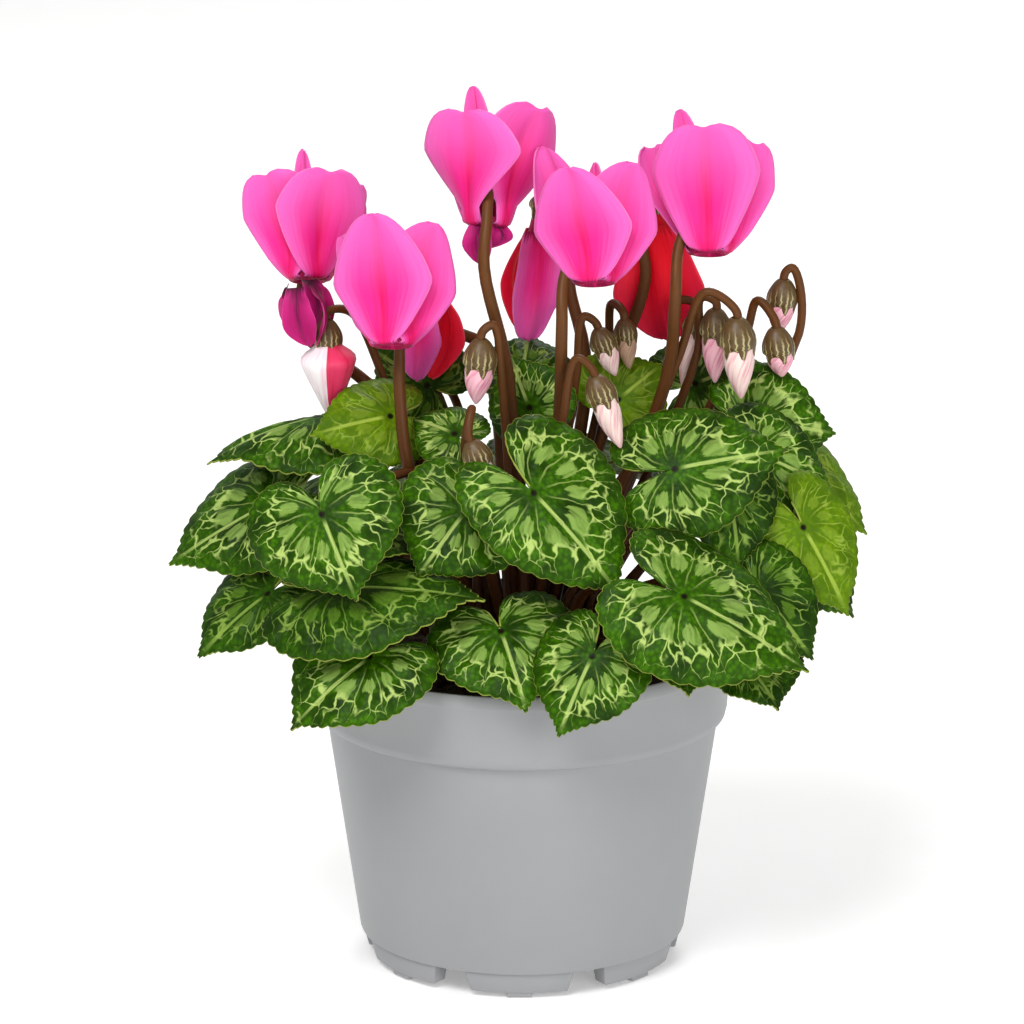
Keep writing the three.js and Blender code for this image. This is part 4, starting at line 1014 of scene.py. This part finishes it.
# %% Calyx and flower stalks
CALYX_PROFILE = [(0.3, -1.0), (0.62, -0.85), (0.95, -0.5), (1.04, -0.15), (0.98, 0.25), (0.88, 1.0)]
SEPAL_THICKNESS = 0.35
PEDICEL_BASE_RADIUS = 1.95
PEDICEL_TOP_RADIUS = 1.4
PEDICEL_STEPS = 48
CAP_BASE = TUBE_TOP + CAD_PETAL / 2 + CAD_GAP
HOOK = [(9.8, 0, -12), (9, 0, 1), (5.4, 0, 11), (3.8, 0, 16), (1.8, 0, 17.6), (0.3, 0, 15.4), (0, 0, CAP_BASE + 1.5)]


def calyx(mesh, base, axis, radius, height, lobes):
    """A cup whose neck lies at base - axis * height and whose five points run on along axis past base."""
    side = square_to(axis)
    other = axis.cross(side)

    def place(s, t):
        r, z = outline_at(CALYX_PROFILE, t)
        point_here = 0.5 + 0.5 * math.cos(10 * math.pi * s)
        run = z * height if z < 0 else z * lobes * (0.15 + 0.85 * point_here)
        rib = 1 + 0.07 * math.cos(20 * math.pi * s) * smoothstep(t, 0.2, 0.6)
        return base + axis * run + circled(side, other, s) * r * radius * rib, (s, t, 0)

    sheet(mesh, 40, 12, place)


flower_stalks = bmesh.new()
cups = bmesh.new()
for flower in FLOWERS.values():
    to_plant = flower_matrix(flower)
    turn = Matrix.Rotation(math.radians(flower["stalk_side"]), 4, "Z")
    knots = [to_plant @ turn @ Vector(p) for p in HOOK]
    via = Vector(flower["via"])
    centres = stalk_curve([crown_point(via), via, *knots], PEDICEL_STEPS)
    thinner = PEDICEL_TOP_RADIUS - PEDICEL_BASE_RADIUS
    radii = [PEDICEL_BASE_RADIUS + thinner * min(1, 2 * j / PEDICEL_STEPS) for j in range(PEDICEL_STEPS + 1)]
    tube(flower_stalks, centres, radii, 10)
    axis = (to_plant.to_3x3() @ Vector((0, 0, -1))).normalized()
    calyx(cups, to_plant @ Vector((0, 0, CAP_BASE)), axis, 3.8, 4, 3.5)
print(len(FLOWERS), "flower stalks and caps")


# %% [markdown]
# ## Buds
# A bud is five petals furled round each other like an umbrella: a cone with a slow twist and five soft ridges,
# cream and pale pink, with darker pink along the folds. The bud ready to open, at the left, is larger, white on
# one side and carmine on the other.

# %% Bud finish
def bud_finish(name, pale, fold, tip):
    material = finish_named(name, Roughness=0.5, Sheen_Weight=0.15)
    spot = add(material, "Attribute", attribute_name="pattern").outputs["Vector"]
    drawn_out = add(material, "VectorMath", {0: spot, 1: (26.0, 2.0, 1.0)}, operation="MULTIPLY").outputs[0]
    streaks = add(material, "TexNoise", {"Vector": drawn_out, "Scale": 1.0, "Detail": 4.0}).outputs["Fac"]
    known = dict(streaks=streaks, y=add(material, "SeparateXYZ", {0: spot}).outputs["Y"])
    work_out(material, known, (
        ("folds", "SMOOTHSTEP", "streaks", 0.42, 0.72),
        ("end", "SMOOTHSTEP", "y", 0.55, 1.0),
    ))
    paint(material, pale, [(known["folds"], fold), (known["end"], tip)], streaks, 0.3, 0.4 * MM)
    return material


furled = bud_finish("bud_cream_pink", "#f0d8cf", "#dd8d9f", "#eeb4b8")
rosy = bud_finish("bud_rose", "#f0b9c4", "#d65f86", "#f2c4cc")
opening_red = bud_finish("bud_carmine", "#e02a5e", "#c80f3c", "#e0102c")
opening_white = bud_finish("bud_white", "#f7eef0", "#f0c4d4", "#f4dfe4")
beige = bud_finish("bud_faded", "#b8977c", "#9a6f5a", "#a9876c")
print("a bud finish has", len(furled.node_tree.nodes), "nodes")

# %% [markdown]
# Each bud is a row too: the base in its cap, its tip, its radius, and two points that its stalk passes. The cone
# is a sheet wrapped round the bud's axis. Beside the opening bud four dark petals are folded back already and
# stand up as a hood; they are petals as in the flowers, only small.

# %% Buds
BUDS = {
    "big_left": ((-54.5, -6, 181), (-53.6, -6, 158.6), 4, (-38, 4, 165), (-48, 0, 188)),
    "centre": ((-12, -24, 179), (-13, -24, 168), 4.6, (-6, -22, 176), (-8, -23, 190)),
    "low": ((-12, -46, 157), (-9, -46, 149), 4, (-16, -34, 156), (-14, -42, 171)),
    "front": ((22, -34, 172), (27, -34, 158), 4.2, (11, -31, 164), (15, -33, 183)),
    "back_centre": ((23, -4, 179), (26, -4, 171), 3.6, (15, -4, 170), (17, -5, 188)),
    "faded": ((29, 0, 181), (30, 0, 172), 3.2, (24, 10, 172), (25, 6, 189)),
    "right_inner": ((54, -4, 183), (54, -4, 169), 4.4, (49, -1, 176), (50, -3, 193)),
    "right_front": ((60, -14, 182), (61, -14, 167), 5, (43, -10, 176), (51, -13, 197)),
    "right_top": ((73, 8, 189), (72, 8, 180), 4.2, (78, 8, 180), (76, 8, 199)),
    "right_outer": ((72, -1, 177), (73, -1, 170), 4.4, (62, 4, 178), (66, 2, 191)),
    "pale": ((48, 4, 182), (45, 4, 166), 3.2, (42, 6, 176), (44, 6, 190)),
}
ROSY = {"centre", "right_inner", "right_top", "right_outer"}
BUD_PROFILE = [(0.84, 0.0), (0.83, 0.16), (0.78, 0.36), (0.6, 0.6), (0.36, 0.82), (0.12, 0.97), (0.02, 1.0)]
BUD_TWIST = 0.35
OPENING_PROFILE = [(0.84, 0.0), (0.94, 0.14), (0.8, 0.34), (0.58, 0.55), (0.36, 0.75), (0.15, 0.93), (0.02, 1.0)]
OPENING_TWIST = 0.04
OPENING_SWELL = 2.1
HOOD = dict(mouth=(-61.6, -8, 197), top=(-63, -8, 205))
HOOD_PETAL = dict(length=17.5, width=9.5, flare=-0.6, twist=30, claw=-0.4, hanging=True)
BUD_STALK_STEPS = 36

for name, (base, tip, radius, *passed) in BUDS.items():
    base, tip, *passed = (Vector(p) for p in (base, tip, *passed))
    axis = (tip - base).normalized()
    length = (tip - base).length
    side = square_to(axis)
    other = axis.cross(side)
    opening = name == "big_left"
    profile, twist, swell = (OPENING_PROFILE, OPENING_TWIST, OPENING_SWELL) if opening else (BUD_PROFILE, BUD_TWIST, 1)
    cone = bmesh.new()

    def place(s, t):
        r, along = outline_at(profile, t)
        swollen = 1 + (swell - 1) * smoothstep(t, 0, 0.25)
        ridge = 1 + 0.09 * abs(math.sin(math.pi * 5 * s)) * smoothstep(t, 0, 0.3)
        ring = circled(side, other, s + twist * t) * r * radius * swollen * ridge
        return base + axis * (CAD_GAP + along * length) + ring, (s, t, 0)

    sheet(cone, 40, 20, place)
    finishes = [rosy if name in ROSY else beige if name == "faded" else furled]
    if opening:
        finishes = [opening_red, opening_white, furled_dark]
        # White on one side, carmine on the other and at the tip.
        for face in cone.faces:
            marks = [v[cone.verts.layers.float_vector["pattern"]] for v in face.verts]
            round_it, down = sum((m.x for m in marks)) / len(marks), sum((m.y for m in marks)) / len(marks)
            face.material_index = 1 if 0.45 < round_it < 0.95 and down < 0.86 else 0
        to_plant = flower_matrix(HOOD)
        for i, turn in enumerate((-110, -30, 60, 170)):
            petal_sheet(cone, to_plant, 12, 20, 2, i, dict(HOOD_PETAL, turn=turn, seed=2.1 * i))
    piece(f"furled_{name}", cone, finishes, f"bud_{name}")
    tall = radius * 1.6
    calyx(cups, base, axis, radius * 0.92, tall, radius * 0.7)
    knots = [crown_point(passed[0]), *passed, base - axis * (tall + 2), base - axis * (tall / 2)]
    centres = stalk_curve(knots, BUD_STALK_STEPS)
    tube(flower_stalks, centres, [PEDICEL_TOP_RADIUS * 0.9] * (BUD_STALK_STEPS + 1), 8)
piece("flower_stalks", flower_stalks, [stalk_skin], "tuber_and_stalks")
piece("calyces", cups, [sepal], "tuber_and_stalks", SEPAL_THICKNESS)
print(len(BUDS), "buds")


bpy.context.view_layer.update()
low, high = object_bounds()
print("visual box in mm:", [round(x / MM, 1) for x in (*low, *high)])
